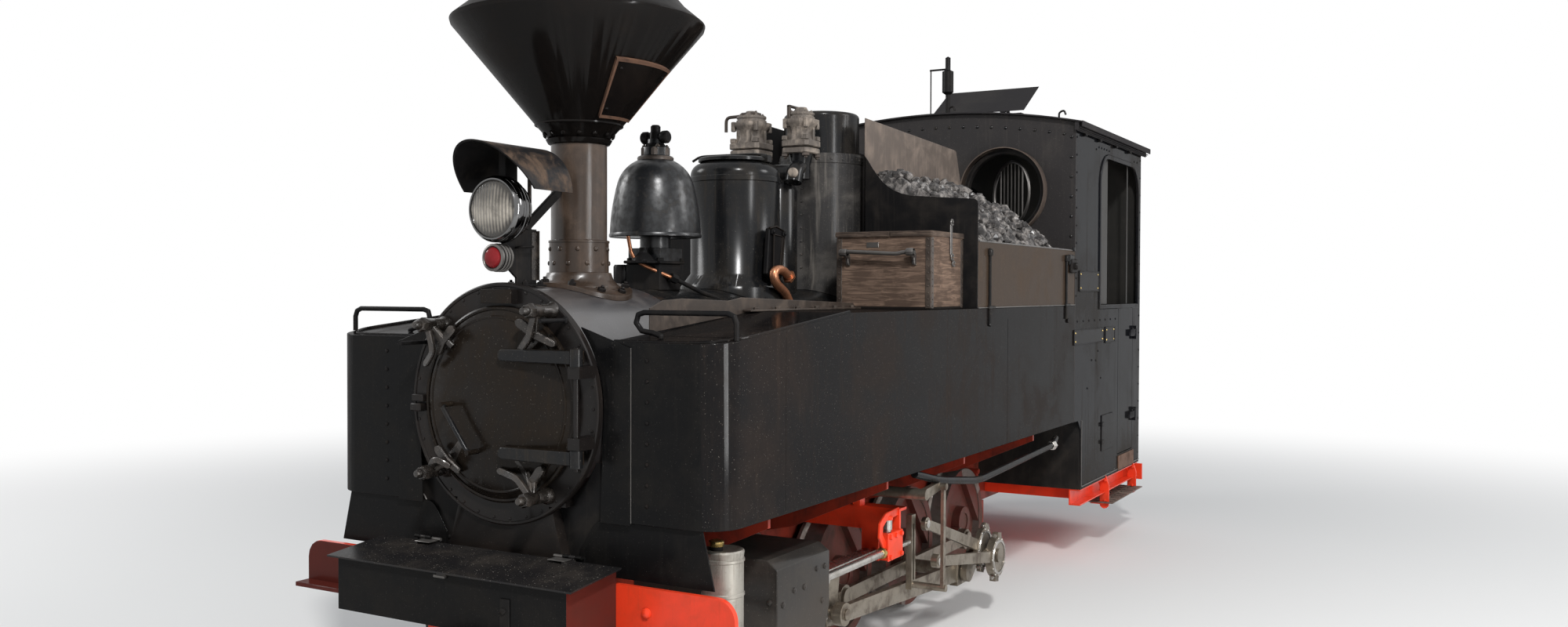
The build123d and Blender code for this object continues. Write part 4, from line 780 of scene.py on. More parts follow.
class LOCO_OT_smokebox(bpy.types.Operator):
    """Smokebox, its door with castings, and the rivets of both"""
    bl_idname = "loco.smokebox"
    bl_label = "Smokebox and door"

    def execute(self, context):
        fix = context.scene.loco_fixings
        # The shell above z 1.0 takes the lighter grey as a painted sky reflection; the saddle and the rest
        # keep the smokebox black.
        dress("smokebox", "smokebox_paint", "smokebox_sky_sheen", bevel=0.003,
              zone=lambda x, y, z, n: ((np.abs(n[0]) < 0.3) & (x < 2.585) & (z > 1.0)))

        def zone(x, y, z, n):
            up = z - BOILER_Z
            turn = np.arctan2(up, y)
            iron = np.zeros(len(x), bool)
            for (cy, cz), _, _ in CASTINGS:
                near = np.abs((turn - math.atan2(cz - BOILER_Z, cy) + np.pi) % (2 * np.pi) - np.pi) < 0.14
                iron |= near & (np.hypot(y, up) > 0.262) & (x > 2.641)
            return iron

        dress("smokebox_door", "door_paint", "clamp_iron", zone=zone)
        ring = circle_points((2.612, 0, BOILER_Z), X, 0.394, 34)
        flat = [line_points((RIVET_FACE, s * 0.452, 0.9), (RIVET_FACE, s * 0.452, 1.44), 7) for s, _ in SIDES]
        rim = [(0.33, 2.6245), (0.337, 2.6245), (0.3375, 2.63), (0.331, 2.6335), (0.324, 2.632)]
        pad = box(2.6405, 2.6435, -0.069, 0.069, 1.581, 1.628, 0.001)
        groove = [(0.292, 2.6402), (0.296, 2.643), (0.301, 2.6425), (0.304, 2.6392)]
        bead = [(0.4142, 2.588), (0.4165, 2.591), (0.4165, 2.612), (0.412, 2.6155), (0.404, 2.6155),
                (0.402, 2.6118)]
        centre = (0, 0, BOILER_Z)
        piece("door_rim", "smokebox_black",
              ("door_paint", lathe(rim, centre, X, 96) + lathe(groove, centre, X, 96)), body="smokebox_door")
        grab = [(2.65, -0.182, 1.232), (2.7125, -0.182, 1.232), (2.7125, -0.061, 1.075),
                (2.65, -0.061, 1.075)]
        straps = tube(bend(grab, 0.018), 0.0085, 12)
        for z in (1.079, 1.408):
            end = [(0.066 - 0.019 * math.sin(a), z + 0.019 * math.cos(a)) for a in np.linspace(0, math.pi, 9)]
            face = [(0.361, z + 0.0225)] + end + [(0.361, z - 0.0225)]
            straps += slab(face, "x", 2.6842, 2.6885, 0.002)
            straps += tube([(2.68, 0.377, z - 0.028), (2.68, 0.377, z + 0.028)], 0.0215, 24)
        piece("door_straps", "smokebox_black", ("dome_paint", straps), body="smokebox_door")
        piece("door_clamps", "smokebox_black", ("clamp_iron", self.castings()), body="smokebox_door")
        latch = (box(2.612, 2.632, -0.408, -0.352, 1.228, 1.253)
                 + box(2.612, 2.644, -0.405, -0.354, 1.194, 1.222, 0.004))
        pins = sum((tube([(2.612, y, z), (2.612 + 0.13, y, z)], 0.0075, 10)
                    + lathe([(0.013, 2.612), (0.013, 2.618), (0.008, 2.622)], (0, y, z), X, 12)
                    for y, z in GUIDE_PINS), [])
        apron = []
        for side, _ in SIDES:
            turn = np.radians(np.linspace(-27, -60, 12))
            arc = [(side * 0.406 * math.cos(a), BOILER_Z + 0.406 * math.sin(a)) for a in turn]
            plate = [(side * 0.215, 0.7), (side * 0.455, 0.7), (side * 0.455, 1.05)] + arc
            apron += slab(plate, "x", 2.55, 2.556, 0.001)
            spots = ((0.435, 0.78), (0.435, 0.9), (0.435, 1.0), (0.3, 0.74))
            apron += rivets([(2.556, side * y, z) for y, z in spots], X, 0.008)
        piece("smokebox_bolts", "smokebox_black",
              ("smokebox_paint", rivets(ring, X, 0.0055, 8) + lathe(bead, centre, X, 120) + latch),
              ("door_paint", pad), ("sheet_black", rivets(np.concatenate(flat), X, fix.rivet) + pins + apron))
        return {"FINISHED"}

    def castings(self):
        """Hub with a castle nut on each stud, a bent spoon handle and a flat dog."""
        hub = [(0.03, 2.613), (0.03, 2.622), (0.0245, 2.633), (0.0215, 2.64), (0.0215, 2.672),
               (0.0205, 2.674), (0.0215, 2.676), (0.0215, 2.7), (0.024, 2.706), (0.024, 2.716),
               (0.0165, 2.7165), (0.0165, 2.742), (0.0165, 2.752), (0.011, 2.763), (0, 2.765)]
        nut = [(0.017, 2.716), (0.0265, 2.717), (0.0265, 2.734), (0.0215, 2.742), (0.0165, 2.743)]
        shapes = []
        for (y, z), handle, dog in CASTINGS:
            at = (0, y, z)
            shapes += lathe(hub, at, X, 24) + lathe(nut, at, X, 6, turn=0.3)
            shapes += forged(bend(handle, 0.02, 4), 0.023, 0.015)
            shapes += forged(dog, [0.034, 0.03, 0.026], 0.022)
            shapes += forged([(2.692, y, z), dog[1]], 0.026, 0.014)
        return shapes


class LOCO_OT_chimney(bpy.types.Operator):
    """Spark-arresting chimney with its base castings, clean-out door and rivets"""
    bl_idname = "loco.chimney"
    bl_label = "Chimney"

    def execute(self, context):
        fix = context.scene.loco_fixings

        def zone(x, y, z, n):
            outer = n[0] * (x - CHIMNEY_X) + n[1] * y > -0.02
            return np.where((z > 2.176) & outer, 0, 1)

        dress("chimney", "cone_paint", "stack_paint", zone=zone, bevel=0.0012, degrees=26)
        at = (CHIMNEY_X, 0, 0)
        foot_band = lathe([(0.1078, 1.696), (0.1095, 1.692), (0.1095, 1.8), (0.112, 1.801), (0.112, 1.808),
                           (0.1035, 1.811)], at, count=72)
        collar = lathe([(0.104, 2.16), (0.113, 2.164), (0.118, 2.172), (0.122, 2.18), (0.116, 2.183)], at,
                       count=72)
        collar += lathe([(0.158, 2.228), (0.163, 2.231), (0.163, 2.237), (0.161, 2.24)], at, count=72)
        rivet_rows = []
        for z, turn in ((1.725, 0), (1.777, 18)):
            rivet_rows += rivets(circle_points((CHIMNEY_X, 0, z), Z, 0.1092, 10, turn),
                                 circle_points((0, 0, 0), Z, 1, 10, turn), fix.rivet)
        top = rivets(circle_points((CHIMNEY_X, 0, 2.196), Z, 0.1275, 14),
                     circle_points((0, 0, -0.75), Z, 1, 14), fix.rivet * 1.1)
        foot = circle_points((CHIMNEY_X, 0, 0), Z, 0.172, 10, 12)
        foot[:, 2] = BOILER_Z + np.sqrt(0.418 ** 2 - foot[:, 1] ** 2)
        lean = foot - [CHIMNEY_X, 0, BOILER_Z]
        lean[:, 0] = 0
        piece("chimney_bands", "chimney_brown", ("stack_paint", foot_band + rivet_rows),
              ("smokebox_paint", nuts(foot, lean, 0.015, 0.007)), ("cone_paint", collar + top))
        piece("cleanout_door", "chimney_brown", ("rusty_iron", self.frame_of_door()),
              ("cone_paint", self.door_leaf()))
        return {"FINISHED"}

    def cone_point(self, turn, z, lift=0.0):
        """Point on the wide cone at an angle in degrees from +X and a height, lifted along its normal."""
        turn, z, lift = np.broadcast_arrays(np.radians(turn), z, lift)
        slope = (0.462 - 0.158) / (2.592 - 2.232)
        r = 0.158 + (z - 2.232) * slope
        k = 1 / math.hypot(1, slope)
        r = r + lift * k
        return np.stack([CHIMNEY_X + r * np.cos(turn), r * np.sin(turn), z - lift * k * slope], axis=-1)

    def patch(self, t0, t1, z0, z1, lift):
        """A curved plate on the cone: a grid over angle and height with a rounded rim."""
        t = np.concatenate([[t0], np.linspace(t0, t1, 14), [t1]])
        z = np.concatenate([[z0], np.linspace(z0, z1, 8), [z1]])
        raised = np.full((len(z), len(t)), lift)
        raised[[0, -1], :] = -0.002
        raised[:, [0, -1]] = -0.002
        return grid(self.cone_point(t[None, :], z[:, None], raised))

    def frame_of_door(self):
        out = []
        for strip in rim_strips(*DOOR_PATCH, 1.6, 0.009):
            out += self.patch(*strip, 0.0135)
        return out

    def door_leaf(self):
        """The raised leaf and the bolts round it."""
        t0, t1, z0, z1 = DOOR_PATCH
        leaf = self.patch(t0 + 0.8, t1 - 0.8, z0 + 0.004, z1 - 0.004, 0.012)
        spots = [(t, z) for t in (t0 + 5, t1 - 5) for z in (z0 + 0.03, z1 - 0.03)]
        out = [self.cone_point(t, z, 1.0) - self.cone_point(t, z, 0.0) for t, z in spots]
        return leaf + rivets([self.cone_point(t, z, 0.0115) for t, z in spots], out, 0.008)


class LOCO_OT_domes(bpy.types.Operator):
    """Bell, sand dome, steam dome, safety valves, pipes and whistle"""
    bl_idname = "loco.domes"
    bl_label = "Domes and fittings"

    def execute(self, context):
        dress("boiler", "dome_paint")
        dress("bell", "bell_paint", bevel=0.002, degrees=40)
        dress("sand_dome", "dome_paint", bevel=0.003, degrees=40)
        dress("steam_dome", "dome_paint", "casing_paint", bevel=0.002, degrees=40,
              zone=lambda x, y, z, n: z < 2.303)
        dress("whistle", "sheet_black", bevel=0.001)
        self.bell_parts()
        self.dome_parts()
        self.valve_parts()
        self.pipes()
        return {"FINISHED"}

    def bell_parts(self):
        """Rim of the bell, the rusty hexagon on its crown, its small cross valve and the block below."""
        at, up = (BELL_X, 0, 0), Z
        lip = lathe([(0.1835, 1.8395), (0.187, 1.8415), (0.187, 1.85), (0.183, 1.857)], at, count=80)
        flange = lathe([(0.06, 2.148), (0.073, 2.151), (0.074, 2.16), (0.07, 2.166), (0.058, 2.168)], at,
                       count=36)
        crown = lathe([(0.052, 2.167), (0.064, 2.17), (0.064, 2.196), (0.06, 2.202), (0.033, 2.204)], at,
                      count=6)
        stem = lathe([(0.038, 2.202), (0.044, 2.206), (0.038, 2.216), (0.026, 2.226), (0.024, 2.262),
                      (0.02, 2.268), (0.02, 2.288), (0.014, 2.294), (0, 2.294)], at, count=20)
        arms = []
        for side, _ in SIDES:
            arms += lathe([(0.015, 0.015), (0.015, 0.032), (0.024, 0.034), (0.026, 0.04), (0.026, 0.057),
                           (0.021, 0.063), (0, 0.064)], (BELL_X, 0, 2.244), (0, side, 0), 16)
        studs = nuts(circle_points((BELL_X, 0, 2.203), up, 0.046, 4, 45), up, 0.009, 0.004)
        base = lathe([(0.048, 1.742), (0.046, 1.748), (0.02, 1.776), (0.017, 1.796), (0, 1.797)],
                     (BELL_X + 0.098, 0.012, 0), count=20)
        base += block(BELL_X, 0, 0.086, 0.086, 1.732, 1.744, 0.003)
        base += box(BELL_X + 0.06, BELL_X + 0.15, -0.05, 0.07, 1.732, 1.744, 0.003)
        base += box(BELL_X - 0.074, BELL_X + 0.074, -0.095, 0.074, 1.625, 1.733, 0.004)
        base += lathe([(0.045, 1.64), (0.045, 1.722), (0.04, 1.73), (0, 1.731)], (BELL_X + 0.02, -0.14, 0),
                      count=28)
        corners = [(BELL_X + i * 0.07, j * 0.072, 1.744) for i in (-1, 1) for j in (-1, 1)]
        base += hex_heads(corners, up, 0.015, 0.012)
        piece("bell_fittings", "fitting_iron", ("bell_paint", lip),
              ("brown_iron", flange + crown + studs), ("sheet_black", stem + arms + base))

    def dome_parts(self):
        lid = lathe([(0.158, 2.196), (0.166, 2.199), (0.166, 2.211), (0.158, 2.216), (0.09, 2.222),
                     (0, 2.223)], (SAND_X, 0, 0), count=64)
        lever = tube(bend([(SAND_X + 0.02, -0.215, 2.212), (SAND_X + 0.02, -0.175, 2.232),
                           (SAND_X, 0.1, 2.232), (SAND_X, 0.16, 2.224)], 0.03), 0.006, 8)
        hinge = lever + box(SAND_X - 0.018, SAND_X + 0.018, 0.14, 0.178, 2.192, 2.224)
        hoop = band(0.2012, 0.2035, 2.104, 2.129, 0.003, (SAND_X, 0, 0), count=80)
        piece("sand_lid", "smokebox_black", ("dome_paint", lid + hinge + hoop))
        ring = circle_points((DOME_X, 0, 2.272), Z, 0.2105, 22)
        seam = line_points((DOME_X + 0.2105, 0, 1.74), (DOME_X + 0.2105, 0, 2.26), 9)
        casing = band(0.2105, 0.2125, 2.252, 2.295, 0.003, (DOME_X, 0, 0), count=80)
        piece("dome_rivets", "smokebox_black",
              ("casing_paint", casing + rivets(ring, ring - [DOME_X, 0, 2.272], 0.007, 8)
               + rivets(seam, X, 0.007, 8)))

    def valve_parts(self):
        """Two bolted castings on a tee: square flanges, a waisted body with lugs, plates and a cap."""
        iron, black, rust = [], [], []
        up = Z
        x0 = VALVE_X
        for y, half in ((0.122, 0.07), (-0.15, 0.08)):
            k = half / 0.07
            for z0, z1, grow in ((2.268, 2.295, 1.0), (2.3, 2.33, 1.03)):
                h = half * grow
                c = h * 0.8
                octagon = ((-h, -c), (-c, -h), (c, -h), (h, -c), (h, c), (c, h), (-c, h), (-h, c))
                iron += slab([(x0 + a, y + b) for a, b in octagon], "z", z0, z1, 0.004)
            iron += lathe([(0.066 * k, 2.328), (0.058 * k, 2.34), (0.053 * k, 2.362), (0.06 * k, 2.388),
                           (0.078 * k, 2.408), (0.081 * k, 2.416), (0.081 * k, 2.428), (0.062 * k, 2.431)],
                          (x0, y, 0), count=8, turn=math.radians(22.5))
            iron += lathe([(0.064 * k, 2.428), (0.064 * k, 2.44), (0.059 * k, 2.441), (0.059 * k, 2.449),
                           (0.063 * k, 2.45), (0.063 * k, 2.46), (0.045, 2.464), (0.032, 2.474),
                           (0.026, 2.486), (0, 2.488)], (x0, y, 0), count=28)
            for i, j in ((1, 1), (1, -1), (-1, 1), (-1, -1)):
                cx, cy = x0 + i * half * 0.78, y + j * half * 0.78
                iron += block(cx, cy, 0.013, 0.013, 2.33, 2.352, 0.003)
                iron += block(cx, cy, 0.01, 0.01, 2.385, 2.432, 0.003)
                rust += nuts([(cx, cy, 2.268)], (0, 0, -1), 0.017, 0.008)
            iron += nuts(circle_points((x0, y, 2.46), up, 0.05 * k, 8, 10), up, 0.008, 0.004)
            for turn in (20, 110, 200, 290):
                d = np.array([math.cos(math.radians(turn)), math.sin(math.radians(turn)), 0])
                foot = np.array([x0, y, 0]) + d * 0.052 * k
                square = ((-0.01, -0.01), (0.01, -0.01), (0.01, 0.01), (-0.01, 0.01))
                iron += slab([(foot[0] + a, foot[1] + b) for a, b in square], "z", 2.33, 2.4, 0.002)
            black += lathe([(0.056, 2.27), (0.052, 2.245), (0.044, 2.215), (0.044, 2.15)], (x0, y, 0),
                           count=24)
        rust += box(x0 + 0.048, x0 + 0.062, 0.078, 0.096, 2.392, 2.494, 0.003)
        rust += box(x0 - 0.03, x0 + 0.062, 0.078, 0.096, 2.484, 2.495, 0.003)
        hook = bend([(x0 + 0.02, -0.281, 2.392), (x0 + 0.02, -0.281, 2.462), (x0 + 0.02, -0.2, 2.464),
                     (x0, -0.12, 2.482)], 0.025)
        rust += tube(hook, 0.008, 10) + box(x0 - 0.03, x0 + 0.03, -0.195, -0.11, 2.462, 2.48, 0.004)
        elbow = bend([(x0, 0.122, 2.215), (x0 + 0.055, 0.122, 2.19), (x0 + 0.075, 0.122, 2.13)], 0.045)
        black += tube([(x0, -0.15, 2.18), (x0, 0.122, 2.18)], 0.045, 20) + tube(elbow, 0.04, 18)
        black += lathe([(0.09, 1.58), (0.09, 2.1), (0.07, 2.135), (0.05, 2.15), (0, 2.151)], (x0, 0, 0),
                       count=40)
        boss = lathe([(0.024, 0.0), (0.024, 0.012), (0.018, 0.02), (0, 0.022)], (x0 + 0.098, 0.135, 2.172),
                     (1, 0.3, 0), 16)
        piece("valve_castings", SLOT_OF["safety_valves"], ("valve_iron", iron + boss),
              ("dome_paint", black), ("brown_iron", rust), replaces=("safety_valves",))

    def pipes(self):
        """Thin copper pipe from under the bell with its union; elbow and plate beside the sand dome."""
        run = bend([(1.852, -0.03, 1.842), (1.828, -0.03, 1.765), (1.815, 0.005, 1.73), (1.752, 0.085, 1.686),
                    (1.722, 0.1, 1.674)], 0.03)
        steel = [(1.722, 0.1, 1.674), (1.59, 0.14, 1.621), (1.5, 0.168, 1.592)]
        union = np.array(steel[1]) - np.array(steel[0])
        elbow = bend([(1.077, 0.268, 1.688), (1.14, 0.268, 1.72), (1.212, 0.268, 1.712), (1.2, 0.268, 1.66),
                      (1.105, 0.268, 1.616), (1.072, 0.268, 1.575)], 0.04)
        flange = band(0.021, 0.03, -0.004, 0.01, 0, elbow[0], elbow[0] - elbow[1], 6)
        plate = slab([(1.205, 1.895), (1.15, 1.905), (1.07, 1.885), (1.11, 1.68), (1.165, 1.655),
                      (1.225, 1.7)], "y", 0.222, 0.244, 0.004)
        inner = slab([(1.185, 1.868), (1.11, 1.862), (1.135, 1.722), (1.19, 1.722)], "y", 0.243, 0.254, 0.003)
        plate += inner + tube([(1.13, 0.15, 1.79), (1.13, 0.23, 1.79)], 0.03, 14)
        corners = [(1.19, 0.244, 1.88), (1.09, 0.244, 1.874), (1.13, 0.244, 1.692), (1.19, 0.244, 1.7)]
        plate += nuts(corners, Y, 0.013, 0.006)
        rims = tube([(1.205, 0.244, 1.895), (1.15, 0.244, 1.905), (1.07, 0.244, 1.885), (1.11, 0.244, 1.68)],
                    0.005, 8)
        rims += tube([(1.185, 0.255, 1.868), (1.11, 0.255, 1.862), (1.135, 0.255, 1.722),
                      (1.19, 0.255, 1.722), (1.185, 0.255, 1.868)], 0.004, 8)
        piece("copper_pipes", "motion_steel", ("copper", tube(run, 0.0075) + tube(elbow, 0.02, 16) + flange),
              ("sheet_black", tube(steel, 0.009, 10) + plate
               + band(0.01, 0.018, -0.016, 0.016, 0, steel[0], union, 6)), ("door_paint", rims))


class LOCO_OT_lamps(bpy.types.Operator):
    """Headlamp, red marker lamp and the hood over them"""
    bl_idname = "loco.lamps"
    bl_label = "Lamps"

    def execute(self, context):
        dress("headlamp", "chrome", "sheet_black", bevel=0.001, degrees=30,
              zone=lambda x, y, z, n: ((np.hypot(y, z - LAMP_Z) > 0.113) | (z < 1.79)))

        def hood(x, y, z, n):
            under = n[1] * y + n[2] * (z - 1.965) < 0
            return (under & (z > 1.966))

        dress("lamp_hood", "hood_sheet", "sheet_black", zone=hood, bevel=0.001)
        rim = lathe([(0.096, 2.65), (0.099, 2.66), (0.104, 2.661), (0.109, 2.655), (0.1135, 2.646),
                     (0.114, 2.63), (0.1122, 2.626)], (0, 0, LAMP_Z), X, 72)
        arm = forged([(2.318, 0, 1.978), (2.482, 0, 1.852)], 0.034, 0.015, Y)
        arm += box(2.432, 2.552, -0.048, 0.048, 1.6395, 1.646, 0.002)
        arm += nuts([(x, y, 1.646) for x in (2.45, 2.53) for y in (-0.032, 0.032)], Z, 0.011, 0.005)
        strip = box(2.436, 2.4386, -0.018, 0.018, 1.66, 1.835, 0.001)
        strip += box(2.436, 2.466, 0.005, 0.008, 1.66, 1.83, 0.001)
        arm += box(2.548, 2.612, -0.016, 0.016, 1.985, 2.118, 0.003)
        hook = tube(bend([(2.55, 0.008, 1.772), (2.55, 0.03, 1.775), (2.48, 0.03, 1.778),
                          (2.48, 0.008, 1.778)], 0.01), 0.004, 8)
        piece("lamp_post", "smokebox_black", ("sheet_black", arm + hook), ("clamp_iron", strip))
        bands = []
        for r, x in ((0.1115, 2.604), (0.093, 2.566)):
            bands += band(r, r + 0.003, x, x + 0.01, 0.002, (0, 0, LAMP_Z), X)
        piece("headlamp_lens", "lamp_metal", ("lens_glass", self.lens(LAMP_Z, 0.098, 2.6562)),
              ("chrome", rim + bands))
        ribs = []
        for x in (2.604, 2.618, 2.632):
            ribs += band(0.0455, 0.049, x, x + 0.008, 0.002, (0, 0, MARKER_Z), X, 36)
        red = lathe([(0.036, 2.654), (0.03, 2.664), (0.016, 2.671), (0, 2.673)], (0, 0, MARKER_Z), X, 36)
        bezel = lathe([(0.036, 2.655), (0.04, 2.66), (0.047, 2.657), (0.047, 2.648)], (0, 0, MARKER_Z), X, 36)
        piece("marker_lens", "lamp_metal", ("red_lens", red), ("lamp_iron", ribs + bezel))
        return {"FINISHED"}

    def lens(self, z, radius, x):
        """Disc of radius R: x + 0.012 (1 - (r / R)^2), plus flutes 0.0022 |cos(23 y / R)| inside 0.97 R."""
        r = radius * np.sqrt(np.linspace(0.0004, 1, 22))[:, None]
        t = np.linspace(0, 2 * np.pi, 128, endpoint=False)[None]
        y, up = r * np.cos(t), r * np.sin(t)
        flutes = 0.0022 * np.abs(np.cos(23 * y / radius)) * (r < radius * 0.97)
        dome = 0.012 * (1 - (r / radius) ** 2)
        points = np.stack([x + dome + flutes, y, z + up], axis=-1)
        middle = np.repeat(np.array([[[x + 0.0135, 0, z]]]), 128, axis=1)
        return grid(np.concatenate([middle, points]), wrap=True)


class LOCO_OT_tanks(bpy.types.Operator):
    """Side tanks, their seams and bolts, front shields, rails and the pipe below"""
    bl_idname = "loco.tanks"
    bl_label = "Side tanks"

    def execute(self, context):
        fix = context.scene.loco_fixings
        for _, tag in SIDES:
            # Faces turned forward take the darker black as painted shade.
            dress("tank_" + tag, "tank_paint", "pitch_black", bevel=0.003,
                  zone=lambda x, y, z, n: n[0] > 0.95)
        dress("front_shields", "pitch_black")
        worn = []
        for s, _ in SIDES:
            edge = ((0.38, 0.7), (0.382, 0.8), (0.392, 0.845), (0.415, 0.878), (0.45, 0.902), (0.492, 0.914),
                    (0.768, 0.909))
            worn += tube([(2.5615, s * y, z) for y, z in edge], 0.003, 6)
            worn += box(TANK_FACE - 0.002, TANK_FACE + 0.0015, s * 0.5195, s * 0.523, 0.868, 1.44, 0.0008)
        piece("shield_edges", "tank_black", ("lamp_iron", worn))
        dress("handrails", "sheet_black", bevel=0)
        seams, bolts, pipes, brass = [], [], [], []
        for s, _ in SIDES:
            y = s * TANK_Y
            for x in (2.171, -0.085):
                seams += box(x - 0.0015, x + 0.0015, y - s * 0.001, y + s * 0.0008, TANK_Z0 + 0.004, 1.49,
                             0.0005)
            seams += self.tank_lip(s)
            column = [(RIVET_FACE, s * 0.585, z) for z in np.linspace(0.93, 1.4, 8)]
            bolts += rivets(column, X, fix.rivet * 0.8)
            bolts += hex_heads([(x, y, z) for x, z in ((0.184, 1.5), (0.184, 1.47), (-1.093, 1.46))],
                               (0, s, 0), fix.bolt)
            route = bend([(1.028, y - s * 0.02, 0.856), (0.785, y - s * 0.012, 0.798),
                          (0.297, y - s * 0.01, 0.733), (-0.873, y - s * 0.01, 0.774),
                          (-0.99, y - s * 0.03, 0.8)], 0.1)
            pipes += tube(route, 0.017, 14)
            brass += band(0.02, 0.026, -0.026, 0.026, 0.004, (-0.862, y - s * 0.01, 0.773), (1, 0, 0.03), 6)
        upstand = []
        for s, _ in SIDES:
            edge = [(2.377, 1.481), (2.377, 1.566), (2.3, 1.592), (2.18, 1.598), (1.87, 1.588), (1.777, 1.6),
                    (0.805, 1.572), (0.805, 1.5455), (1.684, 1.5455)]
            upstand += slab(edge, "y", s * 0.446, s * 0.453, 0.0015)
            upstand += box(0.805, 1.77, s * 0.4535, s * 0.49, 1.5455, 1.553, 0.0015)
            upstand += hex_heads([(x, s * 0.472, 1.553) for x in np.linspace(0.86, 1.7, 6)], Z, 0.012)
        piece("tank_seams", "tank_black", ("tank_paint", seams + bolts), ("brown_iron", upstand))
        piece("tank_pipes", "tank_black", ("dome_paint", pipes), ("bright_steel", brass))
        return {"FINISHED"}

    def tank_lip(self, s):
        """Angle bar round the sloping front of a tank's top."""
        zf, x1 = TANK_FRONT_Z + 0.002, TANK_FRONT_X - 0.02
        slope = (TANK_Z1 - TANK_FRONT_Z) / (TANK_FRONT_X - TANK_SLOPE_X)
        outer = s * (TANK_Y - 0.004)
        inner = s * 0.44
        pts = [(TANK_SLOPE_X, outer, TANK_Z1 + 0.003), (x1 - 0.1, outer, zf + 0.12 * slope),
               (x1, outer - s * 0.1, zf), (x1, inner, zf)]
        return tube(bend(pts, 0.09, 8), 0.006, 8)


class LOCO_OT_bunkers(bpy.types.Operator):
    """Coal bunkers, coal and the wooden chest with its irons"""
    bl_idname = "loco.bunkers"
    bl_label = "Bunkers, coal and chest"

    def execute(self, context):
        self.bunker_plates()
        dress("tool_chest", "chest_boards", "lid_boards", bevel=0.004, zone=lambda x, y, z, n: z > 1.8745)
        self.coal_heaps()
        self.chest_irons()
        return {"FINISHED"}

    def bunker_plates(self):
        """Scooped front plate, tall inner plate, low outer plate and floor, with the latch rods outside."""
        y0, y1, t, base, x0 = 0.2797, 0.868, 0.006, 1.545, 0.34
        scoop = [(y0, base), (y0, 2.29), (0.298, 2.262), (0.324, 2.222), (0.35, 2.187), (0.378, 2.154),
                 (0.408, 2.13), (0.44, 2.111), (0.478, 2.096), (0.52, 2.085), (0.69, 2.071), (0.845, 2.06),
                 (0.858, 2.054), (0.866, 2.043), (y1, 2.03), (y1, base)]
        tall = [(x0, base), (x0, 2.471), (-0.845, 2.43), (-0.862, 2.42), (-0.96, 2.178), (-1.02, 1.99),
                (CAB_X1, 1.99), (CAB_X1, base)]
        front, inner, outer, irons, hidden, edge = [], [], [], [], [], []
        for s, _ in SIDES:
            front += slab([(s * y, z) for y, z in scoop], "x", x0 - t, x0, 0.0012)
            wall = slab(tall, "y", s * y0, s * (y0 + t), 0.0012)
            if s > 0:
                inner += wall
            else:
                hidden += wall
            low = [(x0 - t, base), (x0 - t, 1.861), (CAB_X1, 1.861), (CAB_X1, base)]
            outer += slab(low, "y", s * (y1 - t), s * y1, 0.0012)
            inner += box(CAB_X1, x0 - t, s * (y0 + t), s * (y1 - t), base, base + t, 0.001)
            y = s * (y1 + 0.007)
            for x in (0.19, -1.06):
                irons += tube([(x, y, 1.47), (x, y, 1.8)], 0.007, 8)
                irons += box(x - 0.065, x + 0.02, s * y1, s * (y1 + 0.014), 1.541, 1.556, 0.003)
                irons += lathe([(0.012, 1.795), (0.015, 1.8), (0.015, 1.822), (0.009, 1.83), (0, 1.832)],
                               (x, y, 0), count=12)
            # The bead along the outer plate's top and the strip along its foot are bright metal as painted
            # highlights.
            edge += tube([(x0 - 0.02, s * y1, 1.862), (CAB_X1 + 0.01, s * y1, 1.862)], 0.0035, 6)
            edge += box(CAB_X1 + 0.002, x0 - 0.004, s * (y1 + 0.0005), s * (y1 + 0.006), 1.5455, 1.55, 0.001)
            irons += box(-1.19, -1.1, s * y1, s * (y1 + 0.016), 1.775, 1.835, 0.005)
            irons += lathe([(0.01, 0), (0.014, 0.004), (0.01, 0.012), (0, 0.013)], (-1.205, s * y1, 1.868),
                           (0, s, 0), 12)
        # The low outer plates take the brown of a painted reflection.
        piece("bunker_plates", SLOT_OF["coal_bunkers"], ("sheet_black", front + hidden),
              ("bunker_plate", inner), ("bunker_reflected_brown", outer), ("dome_paint", irons),
              ("lamp_iron", edge), replaces=("coal_bunkers",))

    def coal_heaps(self):
        """Height over (x, y): a slope in y less a fall in x, plus two sine waves and the rounded cells."""
        rng = np.random.default_rng(7)
        x = np.linspace(-1.236, 0.328, 150)
        v = np.linspace(0, 1, 52)
        shapes = []
        for s, _ in SIDES:
            y0, y1 = 0.286, 0.86
            yy = y0 + v * (y1 - y0)
            gx, gy = np.meshgrid(x, yy, indexing="ij")
            top = np.interp(gy, [y0, 0.36, 0.44, 0.52, 0.62, 0.74, y1],
                            [2.182, 2.178, 2.16, 2.11, 2.075, 1.975, 1.852])
            top = top - np.interp(gx, [-1.236, -1.05, -0.7, -0.4], [0.14, 0.085, 0.012, 0.0])
            top = np.where(gx < -1.165, np.minimum(top, 1.935), top)
            waves = 0.01 * np.sin(9 * gx + 2) * np.cos(7 * gy) + 0.008 * np.sin(23 * gx - 11 * gy)
            lumps = self.cells(gx, gy, rng)
            z = top - 0.034 + waves + 0.056 * lumps
            z[[0, -1], :] -= 0.1
            shapes += grid(np.stack([gx, s * gy, z], axis=-1))
            shapes += self.loose_lumps(rng, s, gx, gy, z)
        piece("coal_heap", "coal_black", ("coal_face", shapes), degrees=20, replaces=("coal",))

    def cells(self, gx, gy, rng):
        """Distance to the nearest of many scattered points, turned into rounded lumps."""
        count = 520
        px = rng.uniform(gx.min(), gx.max(), count)
        py = rng.uniform(gy.min(), gy.max(), count)
        height = rng.uniform(0.2, 1.0, count)
        d = np.hypot(gx[..., None] - px, gy[..., None] - py)
        near = np.argmin(d, axis=-1)
        return height[near] * (1 - np.clip(np.min(d, axis=-1) / 0.055, 0, 1) ** 3)

